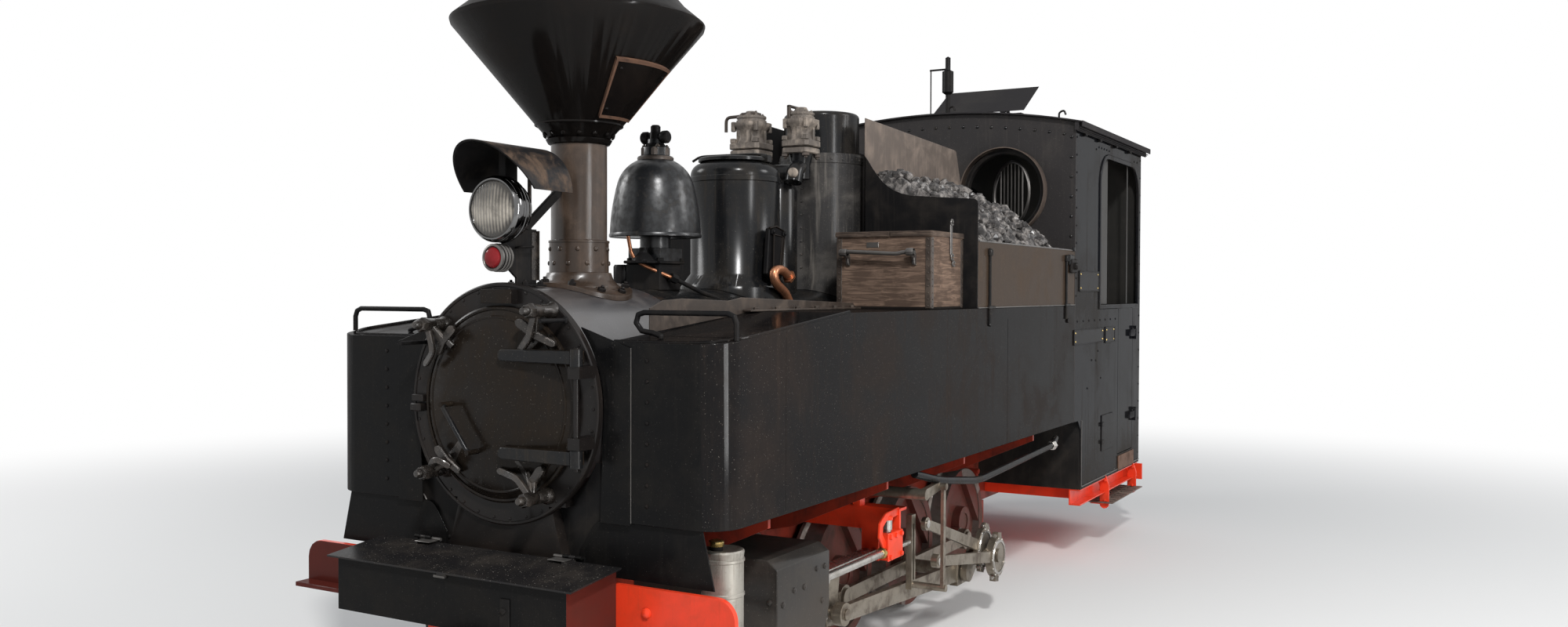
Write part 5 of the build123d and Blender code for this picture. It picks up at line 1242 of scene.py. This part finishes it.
    def loose_lumps(self, rng, s, gx, gy, z):
        """Angular stones: a six-sided turned shape, each corner pushed in or out, at random places."""
        count = 420
        row = rng.integers(4, gx.shape[0] - 4, count)
        col = rng.integers(3, gx.shape[1] - 3, count)
        base = lathe([(0, -0.8), (0.75, -0.5), (1.0, 0.1), (0.6, 0.7), (0, 0.9)], (0, 0, 0), count=6)[0]
        size = rng.uniform(0.012, 0.036, count)
        jitter = rng.uniform(0.7, 1.3, (count, 1, 3))
        wobble = rng.uniform(0.85, 1.15, (count, len(base[0]), 3))
        wobble[:, :6] = wobble[:, :1]
        wobble[:, -6:] = wobble[:, -1:]
        turn = rng.uniform(0, 2 * np.pi, count)
        c, q = np.cos(turn)[:, None], np.sin(turn)[:, None]
        p = base[0][None] * jitter * wobble * size[:, None, None]
        px = p[..., 0] * c - p[..., 2] * q
        pz = p[..., 0] * q + p[..., 2] * c
        centre = np.stack([gx[row, col], s * gy[row, col], z[row, col] + size * 0.3], axis=-1)
        pts = np.stack([px, p[..., 1], pz], axis=-1) + centre[:, None]
        faces = base[1][None] + (np.arange(count) * len(base[0]))[:, None, None]
        return [(pts.reshape(-1, 3), faces.reshape(-1, 4))]

    def chest_irons(self):
        """Corner irons with nails, the bar handle on its feet, the hasp at the side and a blank label."""
        x0, x1, y0, y1, z0, z1 = 0.36, 0.74, 0.335, 0.8, 1.545, 1.87
        iron, bar = [], []
        for x in (x0, x1):
            for y in (y0, y1):
                sx, sy = np.sign(x - 0.55), np.sign(y - 0.57)
                ends = z0 + 0.004, z1 - 0.004, 0.001
                iron += box(x + sx * 0.0005, x + sx * 0.003, y, y - sy * 0.026, *ends)
                iron += box(x, x - sx * 0.026, y + sy * 0.0005, y + sy * 0.003, *ends)
        bar_z, bar_x = 1.795, 0.792
        bar += tube(bend([(bar_x, 0.385, bar_z + 0.01), (bar_x, 0.66, bar_z - 0.004),
                          (bar_x, 0.69, bar_z + 0.004), (bar_x, 0.745, bar_z)], 0.02), 0.0095, 10)
        for y in (0.395, 0.722):
            bar += forged([(x1 + 0.004, y, bar_z - 0.04), (x1 + 0.012, y, bar_z - 0.012),
                           (bar_x, y, bar_z + 0.004)], 0.03, 0.014, Y)
            bar += band(0.016, 0.018, -0.018, 0.018, 0.006, (bar_x, y, bar_z + 0.004), Y, 10)
        bar += box(0.502, 0.526, y1 + 0.0005, y1 + 0.007, 1.792, 1.93, 0.002)
        for x, z, r in ((0.514, 1.94, 0.013), (0.508, 1.782, 0.014), (0.492, 1.752, 0.012)):
            bar += tube(circle_points((x, y1 + 0.008, z), Y, r, 16, 0, 330), 0.004, 6)
        label = box(x1 + 0.0005, x1 + 0.003, 0.485, 0.545, 1.822, 1.846, 0.001)
        nails = rivets([(x1 + 0.003, y, z) for y in (y0 + 0.013, y1 - 0.013)
                        for z in np.linspace(1.56, 1.855, 11)], X, 0.004, 8)
        nails += rivets([(x, y1 + 0.003, z) for x in (x0 + 0.013, x1 - 0.013)
                         for z in np.linspace(1.56, 1.855, 11)], Y, 0.004, 8)
        battens = box(x1 + 0.006, x1 + 0.012, y0 - 0.004, 0.6, z1 + 0.001, z1 + 0.022, 0.001)
        battens += box(x1 + 0.006, x1 + 0.01, 0.606, y1 + 0.003, z1 + 0.001, z1 + 0.022, 0.001)
        piece("chest_irons", "chest_wood", ("brown_iron", iron + nails), ("lamp_iron", bar + label),
              ("lid_boards", battens))


class LOCO_OT_cab(bpy.types.Operator):
    """Cab plates, window beads, blank plates, rivets, roof, hatch, hoods and doors"""
    bl_idname = "loco.cab"
    bl_label = "Cab"

    def execute(self, context):
        fix = context.scene.loco_fixings

        def inside(x, y, z, n):
            return (np.abs(y) < 0.8605) & (x < CAB_X1 - 0.009) & (x > CAB_X0 + 0.009)

        for node, outer in (("cab_front", "satin_black"), ("cab_rear", "satin_black"),
                            ("cab_left", "cab_paint"), ("cab_right", "cab_paint")):
            dress(node, outer, "cab_lining", zone=inside)
        for _, tag in SIDES:
            dress("cab_door_" + tag, "cab_paint")
        dress("cab_floor", "orange_paint", "sheet_black", zone=lambda x, y, z, n: z > 0.455)
        dress("roof", "roof_paint")
        dress("roof_hatch", "roof_paint")
        dress("spectacle_hoods", "cowl_brown", "brown_iron", bevel=0.001,
              zone=lambda x, y, z, n: (n[1] * (np.abs(y) - SPECTACLE_Y) * np.sign(y)
                                       + n[2] * (z - SPECTACLE_Z) < -0.05))
        self.window_beads()
        self.plates()
        self.cab_rivets(fix)
        self.grilles()
        self.eaves()
        self.steps()
        return {"FINISHED"}

    def steps(self):
        """Two legs under each sole bar with a worn tread between them."""
        legs, tread, lip = [], [], []
        for s, _ in SIDES:
            for x in (-1.96, -2.66):
                legs += forged([(x, s * 0.84, 0.462), (x, s * 0.862, 0.4), (x, s * 0.862, 0.286)], 0.06,
                               0.012, X)
                legs += nuts([(x + dx, s * 0.866, z) for dx in (-0.018, 0.018) for z in (0.31, 0.435)],
                             (0, s, 0), 0.01, 0.005)
                legs += box(x - 0.03, x + 0.03, s * 0.78, s * 0.862, 0.286, 0.294, 0.002)
            tread += box(-2.7, -1.92, s * 0.745, s * 0.925, 0.2945, 0.3005, 0.002)
            tread += copies(box(-0.03, 0.03, -0.003, 0.003, 0, 0.004, 0.001),
                            [(x, s * y, 0.3005) for x in np.linspace(-2.65, -1.97, 9)
                             for y in (0.785, 0.835, 0.885)], Z)
            lip += box(-2.808, -1.402, s * 0.8705, s * 0.8745, 0.468, 0.474, 0.001)
            lip += box(-1.4035, -1.3985, s * 0.866, s * 0.8735, 0.474, 0.862, 0.001)
        piece("cab_steps", SLOT_OF["cab_floor"], ("orange_paint", legs), ("bunker_plate", tread),
              ("lamp_iron", lip))

    def window_outline(self, grow):
        """Closed outline of the side window in x and z, grown outwards; the two top corners are arcs."""
        x0, x1, z0, z1, r = -2.727 - grow, -1.78 + grow, 1.539 - grow, 2.46 + grow, 0.18 + grow
        t = np.linspace(0, np.pi / 2, 9)
        right = np.stack([x1 - r + r * np.cos(t), z1 - r + r * np.sin(t)], axis=1)
        left = np.stack([x0 + r - r * np.sin(t), z1 - r + r * np.cos(t)], axis=1)
        return np.concatenate([[(x1, z0)], right, left, [(x0, z0)]])

    def window_beads(self):
        beads, panel, strap = [], [], []
        for s, _ in SIDES:
            y = s * TANK_Y
            rows = []
            for grow, out in ((-0.004, -0.008), (-0.004, 0.005), (0.0, 0.008), (0.02, 0.008), (0.024, 0.004),
                              (0.024, -0.001)):
                q = self.window_outline(grow)
                rows.append(np.stack([q[:, 0], np.full(len(q), y + s * out), q[:, 1]], axis=1))
            beads += grid(np.array(rows + rows[:1]), wrap=True)
            yi = s * 0.848
            panel += box(-2.03, -1.76, yi, yi - s * 0.008, 1.545, 2.475, 0.002)
            strap += box(-2.54, -2.515, yi, yi - s * 0.004, 1.545, 2.472, 0.001)
        piece("window_beads", "tank_black", ("cab_paint", beads), ("cab_lining", panel + strap))

    def plates(self):
        """Blank plates with screws, latch lumps and the flap, on both sides."""
        plates, screws, black, rust = [], [], [], []
        for s, _ in SIDES:
            y = s * TANK_Y
            for x0, x1, z0, z1 in ((-1.866, -1.219, 1.312, 1.402), (-2.132, -1.902, 1.303, 1.404),
                                   (-1.748, -1.321, 1.625, 1.747)):
                plates += box(x0, x1, y, y + s * 0.005, z0, z1, 0.0015)
                for a, b, c, d in rim_strips(x0, x1, z0, z1, 0.006, 0.006):
                    black += box(a, b, y + s * 0.004, y + s * 0.007, c, d, 0.0008)
                for x in (x0 + 0.03, x1 - 0.03):
                    for z in (z0 + 0.02, z1 - 0.02):
                        screws += rivets([(x, y + s * 0.005, z)], (0, s, 0), 0.006, 8)
            black += box(-2.097, -1.836, y, y + s * 0.006, 0.631, 0.855, 0.002)
            for z in (0.69, 0.8):
                black += box(-1.87, -1.82, y, y + s * 0.013, z - 0.012, z + 0.012, 0.002)
            black += box(-1.223, -1.12, y, y + s * 0.02, 1.73, 1.812, 0.006)
            black += lathe([(0.02, 0), (0.02, 0.014), (0.013, 0.02), (0, 0.021)], (-1.17, y + s * 0.02, 1.77),
                           (0, s, 0), 16)
            rust += box(-2.64, -2.24, y, y + s * 0.008, 0.462, 0.556)
        piece("cab_plates", "tank_black", ("cab_paint", black), ("blank_plate", plates),
              ("brass", screws), ("rusty_iron", rust))

    def cab_rivets(self, fix):
        spots, front = [], []
        for s, _ in SIDES:
            y = s * TANK_Y
            spots += [(-1.268, y, z) for z in np.linspace(1.6, 2.52, 10)]
            spots += [(-2.79, y, z) for z in np.linspace(0.52, 2.52, 18)]
            spots += [(x, y, 0.478) for x in np.linspace(-2.77, -1.45, 14)]
            spots += [(x, y, 1.45) for x in np.linspace(-2.16, -1.3, 8)]
            spots += [(x, y, 2.508) for x in (-1.74, -1.8, -1.86, -1.92, -1.98)]
            spots += [(-1.68, y, 2.49), (-2.62, y, 2.5), (-2.7, y, 2.5)]
            spots += [(-1.75, y, 1.26), (-1.61, y, 1.21), (-1.7, y, 1.205), (-1.82, y, 1.09),
                      (-1.52, y, 1.045)]
        normals = [(0, np.sign(p[1]), 0) for p in spots]
        for s, _ in SIDES:
            front += [(CAB_X1, s * 0.845, z) for z in np.linspace(1.6, 2.52, 9)]
        ys = np.linspace(-0.8, 0.8, 19)
        front += [(CAB_X1, y, 2.62 - y * y * 0.125) for y in ys]
        piece("cab_rivets", "tank_black", ("cab_paint", rivets(spots, normals, fix.rivet * 0.75, 8)),
              ("dome_paint", rivets(front, X, fix.rivet * 1.15, 8)))

    def eaves(self):
        """Fascia, gutter lips and drip strips under the long edges of the roof, with lifting hooks."""
        strips, dark = [], []
        for s, _ in SIDES:
            strips += box(-2.868, -1.207, s * 0.913, s * 0.921, 2.572, 2.606, 0.002)
            for y, z in ((0.904, 2.566), (0.896, 2.56), (0.888, 2.553)):
                strips += tube([(-2.862, s * y, z), (-1.213, s * y, z)], 0.0028, 6)
            for x in (-1.4, -1.72, -2.1, -2.45):
                dark += box(x - 0.02, x + 0.02, s * 0.871, s * 0.89, 2.538, 2.552, 0.002)
        for x, y, z in ((-1.24, 0.77, 2.634), (-1.24, 0.085, 2.705), (-1.24, -0.77, 2.634)):
            dark += tube(bend([(x, y, z), (x, y, z + 0.03), (x, y + 0.03, z + 0.042),
                               (x, y + 0.04, z + 0.015)], 0.02), 0.006, 8)
        piece("roof_eaves", SLOT_OF["roof"], ("roof_paint", strips), ("sheet_black", dark))

    def grilles(self):
        """Bars behind each front spectacle, with a deep ring, and the rear panes in their frames."""
        bars, ring = [], []
        for s, _ in SIDES:
            y0, z0 = s * SPECTACLE_Y, SPECTACLE_Z
            turn = np.linspace(0, 2 * np.pi, 48)
            leaf = math.radians(38)
            hinge_x, leaf_r = CAB_X1 - 0.13, 0.19
            loop = np.stack([hinge_x + leaf_r * np.cos(turn) * math.sin(leaf),
                             y0 + s * leaf_r * np.cos(turn) * math.cos(leaf),
                             z0 + leaf_r * np.sin(turn)], axis=1)
            bars += tube(loop, 0.009, 8)
            for k in np.linspace(-0.62, 0.62, 7):
                h = leaf_r * math.sqrt(1 - k * k)
                x, y = hinge_x + leaf_r * k * math.sin(leaf), y0 + s * leaf_r * k * math.cos(leaf)
                bars += tube([(x, y, z0 + d) for d in np.linspace(-h, h, 8)], 0.005, 6)
            ring += lathe([(0.2285, -0.03), (0.2235, -0.028), (0.2235, 0.012), (0.23, 0.016), (0.246, 0.014),
                           (0.246, 0.001), (0.2285, -0.03)], (CAB_X1, y0, z0), X, 64)
        panes, frames = [], []
        pane_x = -2.806
        for s, _ in SIDES:
            at = (pane_x, s * SPECTACLE_Y, SPECTACLE_Z)
            panes += lathe([(0, -0.003), (0.205, -0.003), (0.205, 0.003), (0, 0.003)], at, X, 48)
            frames += lathe([(0.165, -0.008), (0.185, -0.008), (0.185, 0.008), (0.165, 0.008),
                             (0.165, -0.008)], at, X, 48)
        piece("rear_panes", "tank_black", ("sooty_glass", panes), ("sheet_black", frames))
        piece("spectacle_grilles", "tank_black", ("lamp_iron", bars), ("sheet_black", ring))


class LOCO_OT_front(bpy.types.Operator):
    """Front beam, toolbox, canister, buffers and cylinders"""
    bl_idname = "loco.front"
    bl_label = "Front beam and cylinders"

    def execute(self, context):
        def beam(x, y, z, n):
            jaw = ((np.abs(y) < 0.151) & (x > 2.691)) | ((z < 0.511) & (x > 2.64))
            low = (z < 0.5265) & (np.abs(n[0]) < 0.5) & (x > 2.631)
            return np.where(jaw, 1, np.where(low, 2, 0))

        dress("front_beam", "orange_paint", "sheet_black", "maroon_paint", zone=beam, bevel=0.002)
        dress("rear_beam", "orange_paint", "sheet_black", bevel=0.002,
              zone=lambda x, y, z, n: ((np.abs(y) < 0.151) & (x < -2.9)))
        dress("toolbox", "pitch_black", "maroon_paint", zone=lambda x, y, z, n: np.abs(y) > 0.4995)
        dress("toolbox_lid", "lid_plate")
        dress("cylinders", "cylinder_paint", bevel=0.02, degrees=40)
        # Maroon skin over the left end of the beam face and its lip: painted shade on the orange beam.
        shade_skin = [(-0.949, 0.514), (-0.949, 0.612), (-0.944, 0.638), (-0.929, 0.66), (-0.906, 0.674),
                (-0.88, 0.678), (-0.502, 0.678), (-0.502, 0.528)]
        left = box(2.6904, 2.6912, -0.949, -0.502, 0.5122, 0.5262, 0.0003)
        left += slab(shade_skin, "x", 2.6302, 2.6312, 0.0004)
        left += box(2.6312, 2.6905, -0.9498, -0.502, 0.5262, 0.5275, 0.0004)
        piece("beam_bolt_and_end_shade", "bright_red", ("orange_paint", rivets([(2.631, 0.62, 0.6)], X, 0.018, 16)),
              ("maroon_paint", left))
        x, y = 2.41, 0.7685
        can = lathe([(0.064, 0.5005), (0.07, 0.504), (0.07, 0.522), (0.0685, 0.524), (0.0685, 0.63),
                     (0.0715, 0.633), (0.0715, 0.641), (0.0685, 0.644), (0.0685, 0.742), (0.0715, 0.745),
                     (0.0715, 0.753), (0.068, 0.756), (0.07, 0.77), (0.071, 0.776), (0.066, 0.782),
                     (0.05, 0.776), (0, 0.774)], (x, y, 0), count=56)
        neck_at = (x, 0.742, 0)
        neck = lathe([(0.022, 0.77), (0.022, 0.79), (0.025, 0.791)], neck_at, count=28)
        cap = lathe([(0.025, 0.788), (0.026, 0.79), (0.026, 0.804), (0.022, 0.808), (0, 0.809)], neck_at,
                    count=28)
        tray = block(x, y, 0.074, 0.078, 0.48, 0.5) + box(x - 0.01, x + 0.01, 0.2405, y - 0.078, 0.48, 0.5)
        piece("canister_can", SLOT_OF["canister"], ("zinc", can), ("sheet_black", neck + tray),
              ("brass", cap), replaces=("canister",))
        hinges, irons = [], []
        for y in (-0.3, 0.3):
            hinges += box(2.6365, 2.69, y - 0.035, y + 0.035, 0.7425, 0.7455, 0.001)
            hinges += tube([(2.642, y - 0.045, 0.748), (2.642, y + 0.045, 0.748)], 0.006, 8)
        irons += box(2.8805, 2.89, -0.045, 0.005, 0.69, 0.7, 0.001)
        irons += box(2.8805, 2.885, 0.235, 0.275, 0.545, 0.655, 0.002)
        irons += rivets([(2.885, 0.25, 0.615)], X, 0.012, 12)
        piece("toolbox_irons", "tank_black", ("lamp_iron", irons[:2] + hinges), ("sheet_black", irons[2:]))
        self.cylinder_bolts()
        return {"FINISHED"}

    def cylinder_bolts(self):
        bolts = []
        for s, _ in SIDES:
            side = ((1.829, 0.622), (1.891, 0.624), (1.986, 0.577), (2.061, 0.58), (2.14, 0.545), (1.85, 0.5))
            bolts += rivets([(x, s * 0.842, z) for x, z in side], (0, s, 0), 0.011, 10)
            bolts += rivets([(2.1805, s * 0.812, 0.56)], X, 0.011, 10)
            for r, x, n in ((0.112, 2.22, 10), (0.104, 1.75, 9)):
                d = 1 if x > 2 else -1
                bolts += nuts(circle_points((x, s * CYLINDER_Y, AXLE_Z), X, r, n), (d, 0, 0), 0.014, 0.006)
            bolts += lathe([(0.06, 2.22), (0.058, 2.232), (0.03, 2.236), (0, 2.237)],
                           (0, s * CYLINDER_Y, AXLE_Z), X, 32)
        piece("cylinder_bolts", "tank_black", ("cylinder_paint", bolts))


class LOCO_OT_motion(bpy.types.Operator):
    """Frame plates, wheels, rods, links and brakes"""
    bl_idname = "loco.motion"
    bl_label = "Frame and motion"

    def execute(self, context):
        fix = context.scene.loco_fixings
        dress("main_frame", "frame_paint")
        dress("ash_pan", "sheet_black")
        dress("brakes_springs", "frame_paint", "sheet_black", zone=lambda x, y, z, n: np.abs(y) < 0.219)
        dress("motion_brackets", "orange_paint", "bright_steel",
              zone=lambda x, y, z, n: (x > 1.091) & (z < 0.52))
        dress("valve_links", "rod_steel", "bright_steel", zone=lambda x, y, z, n: (x > 0.83) & (z < 0.56))
        for n_axle, axle_x in enumerate(AXLE_X, 1):
            def wheels(x, y, z, n, axle_x=axle_x):
                r = np.hypot(x - axle_x, z - AXLE_Z)
                out = np.abs(y)
                tyre = (out > 0.27) & (out < 0.3845) & (r > 0.2545)
                steel = (out > 0.391) | (out < 0.27)
                return np.where(steel, 2, np.where(tyre, 1, 0))
            dress(f"wheelset_{n_axle}", "wheel_paint", "tyre_steel", "rod_steel", zone=wheels)
        for _, tag in SIDES:
            dress("crosshead_" + tag, "rod_steel", "bright_steel",
                  zone=lambda x, y, z, n: (np.abs(n[0]) < 0.5) & (x > 1.5))
            for node in ("coupling_rod_", "connecting_rod_", "eccentric_rod_inner_", "eccentric_rod_outer_"):
                dress(node + tag, "rod_steel")
        self.frame_rivets(fix)
        self.guides()
        self.straps()
        return {"FINISHED"}

    def straps(self):
        """Rim bead, clamp nuts and studs and rivets of each eccentric strap, and the pin at the link end."""
        for s, tag in SIDES:
            for order, (turn, y0, y1, end_z) in {"inner": (115, 0.764, 0.796, 0.592),
                                                 "outer": (-115, 0.812, 0.852, 0.432)}.items():
                a = math.radians(CRANK_DEG[s] + turn)
                at = np.array([SHEAVE_THROW * math.cos(a), AXLE_Z + SHEAVE_THROW * math.sin(a)])
                to = np.array([LINK_X, end_z]) - at
                along = to / np.linalg.norm(to)
                across = np.array([-along[1], along[0]])
                face = y1 - 0.0025
                bead = [(0.0735, face), (0.0735, face + 0.005), (0.084, face + 0.005), (0.086, face)]
                shapes = lathe([(r, s * y) for r, y in bead], (at[0], 0, at[1]), Y, 48)
                studs = []
                for k in (1, -1):
                    for j in (1, -1):
                        c = at + k * 0.1 * across + j * 0.026 * along
                        mid = s * 0.5 * (y0 + y1)
                        shapes += lathe([(0, 0), (0.013, 0), (0.013, 0.01), (0.007, 0.011), (0.007, 0.02),
                                         (0, 0.021)], (c[0], mid, c[1]), (j * along[0], 0, j * along[1]), 6)
                    c = at + k * 0.1 * across
                    studs += tube([(c[0] - 0.045 * along[0], mid, c[1] - 0.045 * along[1]),
                                   (c[0] + 0.045 * along[0], mid, c[1] + 0.045 * along[1])], 0.007, 8)
                shapes += rivets([(at[0] + 0.091 * math.cos(t), s * (y1 - 0.003), at[1] + 0.091 * math.sin(t))
                                  for t in np.linspace(0, 2 * np.pi, 13)[:-1]], (0, s, 0), 0.006, 8)
                shapes += lathe([(0, 0), (0.018, 0), (0.018, 0.005), (0.012, 0.008), (0, 0.008)],
                                (LINK_X, s * (y1 - 0.005), end_z), (0, s, 0), 20)
                node = f"eccentric_rod_{order}_{tag}"
                piece(f"strap_fittings_{order}_{tag}", SLOT_OF[node], ("bright_steel", shapes),
                      ("rod_steel", studs), body=node)

    def guides(self):
        """Valve spindle sleeve with its gland, guide box cover with bolts, bush, oil cup and arched stay."""
        bright, red, yellow = [], [], []
        for s, _ in SIDES:
            spindle, stay_y = (0, s * SPINDLE_Y, SPINDLE_Z), s * 0.742
            bright += lathe([(0, 1.11), (0.017, 1.11), (0.017, 1.64), (0, 1.64)], spindle, X, 28)
            bright += lathe([(0.017, 1.64), (0.033, 1.642), (0.035, 1.65), (0.035, 1.672), (0.028, 1.676),
                             (0.028, 1.705), (0.04, 1.708), (0.04, 1.726), (0.017, 1.73)], spindle, X, 24)
            red += box(0.946, 1.094, s * 0.7545, s * 0.763, 0.486, 0.604, 0.003)
            red += hex_heads([(x, s * 0.763, z) for x in (0.965, 1.075) for z in (0.502, 0.588)], (0, s, 0),
                             0.011)
            red += hex_heads([(1.02, s * 0.763, 0.588)], (0, s, 0), 0.011)
            yellow += lathe([(0.018, 1.09), (0.024, 1.091), (0.024, 1.108), (0.018, 1.11)], spindle, X, 24)
            bright += lathe([(0, 0.601), (0.014, 0.601), (0.014, 0.612), (0.019, 0.614), (0.019, 0.655),
                             (0, 0.655)], (1.045, s * SPINDLE_Y, 0), count=24)
            red += lathe([(0.021, 0.655), (0.022, 0.658), (0.022, 0.668), (0.016, 0.674), (0, 0.675)],
                         (1.045, s * SPINDLE_Y, 0), count=24)
            stay = ((1.1, 0.56), (1.135, 0.6), (1.13, 0.645), (1.085, 0.672), (0.96, 0.68))
            red += forged([(x, stay_y, z) for x, z in stay], 0.034, 0.012, (0, s, 0))
        piece("valve_guides", SLOT_OF["motion_brackets"], ("bright_steel", bright), ("orange_paint", red),
              ("brass", yellow))

    def frame_rivets(self, fix):
        spots = []
        for s, _ in SIDES:
            for z in (0.66, 0.6):
                spots += [(x, s * 0.24, z) for x in np.linspace(-1.05, 1.75, 34)]
        piece("frame_rivets", "frame_red",
              ("frame_paint", rivets(spots, [(0, np.sign(p[1]), 0) for p in spots], fix.rivet * 0.9, 8)))


class LOCO_OT_stage(bpy.types.Operator):
    """Plain pale floor, soft lights, white surroundings and the camera at the photo's angle"""
    bl_idname = "loco.stage"
    bl_label = "Studio"

    def execute(self, context):
        studio = context.scene.loco_studio
        self.floor(studio)
        self.world(studio)
        self.light("strip", (3.1, 6.3, 1.9), (2.5, 0.8, 1.3), 0.55, 150.0, 3.2)
        self.light("key", (7.0, 5.0, 7.2), (1.0, 0.2, 1.2), 0.9, studio.key)
        self.light("left", (3.0, -7.0, 5.0), (1.0, 0, 1.4), 2.5, studio.key * 0.3)
        self.light("side", (-2.5, 8.0, 5.5), (-0.8, 0.6, 1.2), 3.0, studio.key * 0.4)
        self.camera(context)
        context.scene.view_settings.view_transform = "Standard"
        return {"FINISHED"}

    def floor(self, studio):
        half = 60.0
        corners = np.array([(-half, -half, 0), (half, -half, 0), (half, half, 0), (-half, half, 0)])
        me = mesh_of("floor", [[(corners, np.array([[0, 1, 2, 3]]))]])
        obj = link("floor", me)
        mat = bpy.data.materials.new("floor_paint")
        mat.use_nodes = True
        n = Nodes(mat.node_tree)
        shader = mat.node_tree.nodes["Principled BSDF"]
        shader.inputs["Base Color"].default_value = (*studio.floor, 1)
        shader.inputs["Roughness"].default_value = 0.9
        shader.inputs["Specular IOR Level"].default_value = 0.1
        glow = n.add("Emission")
        length = n.add("VectorMath", operation="LENGTH")
        n.join(n.add("TexCoord").outputs["Object"], length.inputs[0])
        fade = n.times(n.ramp(length.outputs["Value"], 3.6, 10.0), n.seen())
        n.join(n.shade(fade, shader.outputs[0], glow.outputs[0]),
               mat.node_tree.nodes["Material Output"].inputs["Surface"])
        me.materials.append(mat)

    def world(self, studio):
        world = bpy.data.worlds.new("studio")
        world.use_nodes = True
        n = Nodes(world.node_tree)
        world.node_tree.nodes.clear()
        out = n.add("OutputWorld")
        soft, white = n.add("Background"), n.add("Background")
        soft.inputs["Color"].default_value = (0.86, 0.92, 1.0, 1)
        soft.inputs["Strength"].default_value = studio.fill
        white.inputs["Color"].default_value = (1, 1, 1, 1)
        white.inputs["Strength"].default_value = 1.0
        n.join(n.shade(n.seen(), soft.outputs[0], white.outputs[0]), out.inputs["Surface"])
        bpy.context.scene.world = world

    def light(self, name, at, aim, size, power, tall=0.0):
        """A round lamp, or an upright strip when tall is given."""
        lamp = bpy.data.lights.new(name, "AREA")
        lamp.shape = "RECTANGLE" if tall else "DISK"
        lamp.size = size
        if tall:
            lamp.size_y = tall
        lamp.energy = power
        obj = link(name, lamp)
        obj.location = at
        obj.rotation_euler = (Vector(aim) - Vector(at)).to_track_quat("-Z", "Y").to_euler()

    def camera(self, context):
        yaw, pitch, roll = (math.radians(a) for a in CAMERA_TURN)
        ahead = np.array([-math.cos(yaw) * math.cos(pitch), -math.sin(yaw) * math.cos(pitch),
                          math.sin(pitch)])
        right = np.cross(ahead, Z)
        right /= np.linalg.norm(right)
        up = np.cross(right, ahead)
        r = right * math.cos(roll) + up * math.sin(roll)
        u = up * math.cos(roll) - right * math.sin(roll)
        cam = bpy.data.cameras.new("photo_view")
        cam.sensor_width = CAMERA_SENSOR
        cam.lens = CAMERA_LENS
        cam.clip_end = 200.0
        obj = link("photo_view", cam)
        pose = Matrix.Identity(4)
        for i in range(3):
            pose[i][0], pose[i][1], pose[i][2] = r[i], u[i], -ahead[i]
        pose.translation = CAMERA_AT
        obj.matrix_world = pose
        context.scene.camera = obj


OPERATORS = (LOCO_OT_finishes, LOCO_OT_smokebox, LOCO_OT_chimney, LOCO_OT_domes, LOCO_OT_lamps, LOCO_OT_tanks,
             LOCO_OT_bunkers, LOCO_OT_cab, LOCO_OT_front, LOCO_OT_motion, LOCO_OT_stage)
SETTINGS = {"loco_paint": LocomotivePaint, "loco_fixings": LocomotiveFixings, "loco_studio": LocomotiveStudio}


class LOCO_PT_panel(bpy.types.Panel):
    """Lists the operators that dress the engine, in order"""
    bl_idname = "LOCO_PT_panel"
    bl_label = "Locomotive"
    bl_space_type = "VIEW_3D"
    bl_region_type = "UI"
    bl_category = "Locomotive"

    def draw(self, context):
        for name, kind in SETTINGS.items():
            box_ = self.layout.box()
            for key in kind.__annotations__:
                box_.prop(getattr(context.scene, name), key)
        for op in OPERATORS:
            self.layout.operator(op.bl_idname)


def register():
    for cls in (*SETTINGS.values(), *OPERATORS, LOCO_PT_panel):
        bpy.utils.register_class(cls)
    for name, kind in SETTINGS.items():
        setattr(bpy.types.Scene, name, bpy.props.PointerProperty(type=kind))


def unregister():
    for name in SETTINGS:
        delattr(bpy.types.Scene, name)
    for cls in reversed((*SETTINGS.values(), *OPERATORS, LOCO_PT_panel)):
        bpy.utils.unregister_class(cls)


def main():
    register()
    for op in OPERATORS:
        getattr(bpy.ops.loco, op.bl_idname.split(".")[1])()


if __name__ == "__main__":
    main()
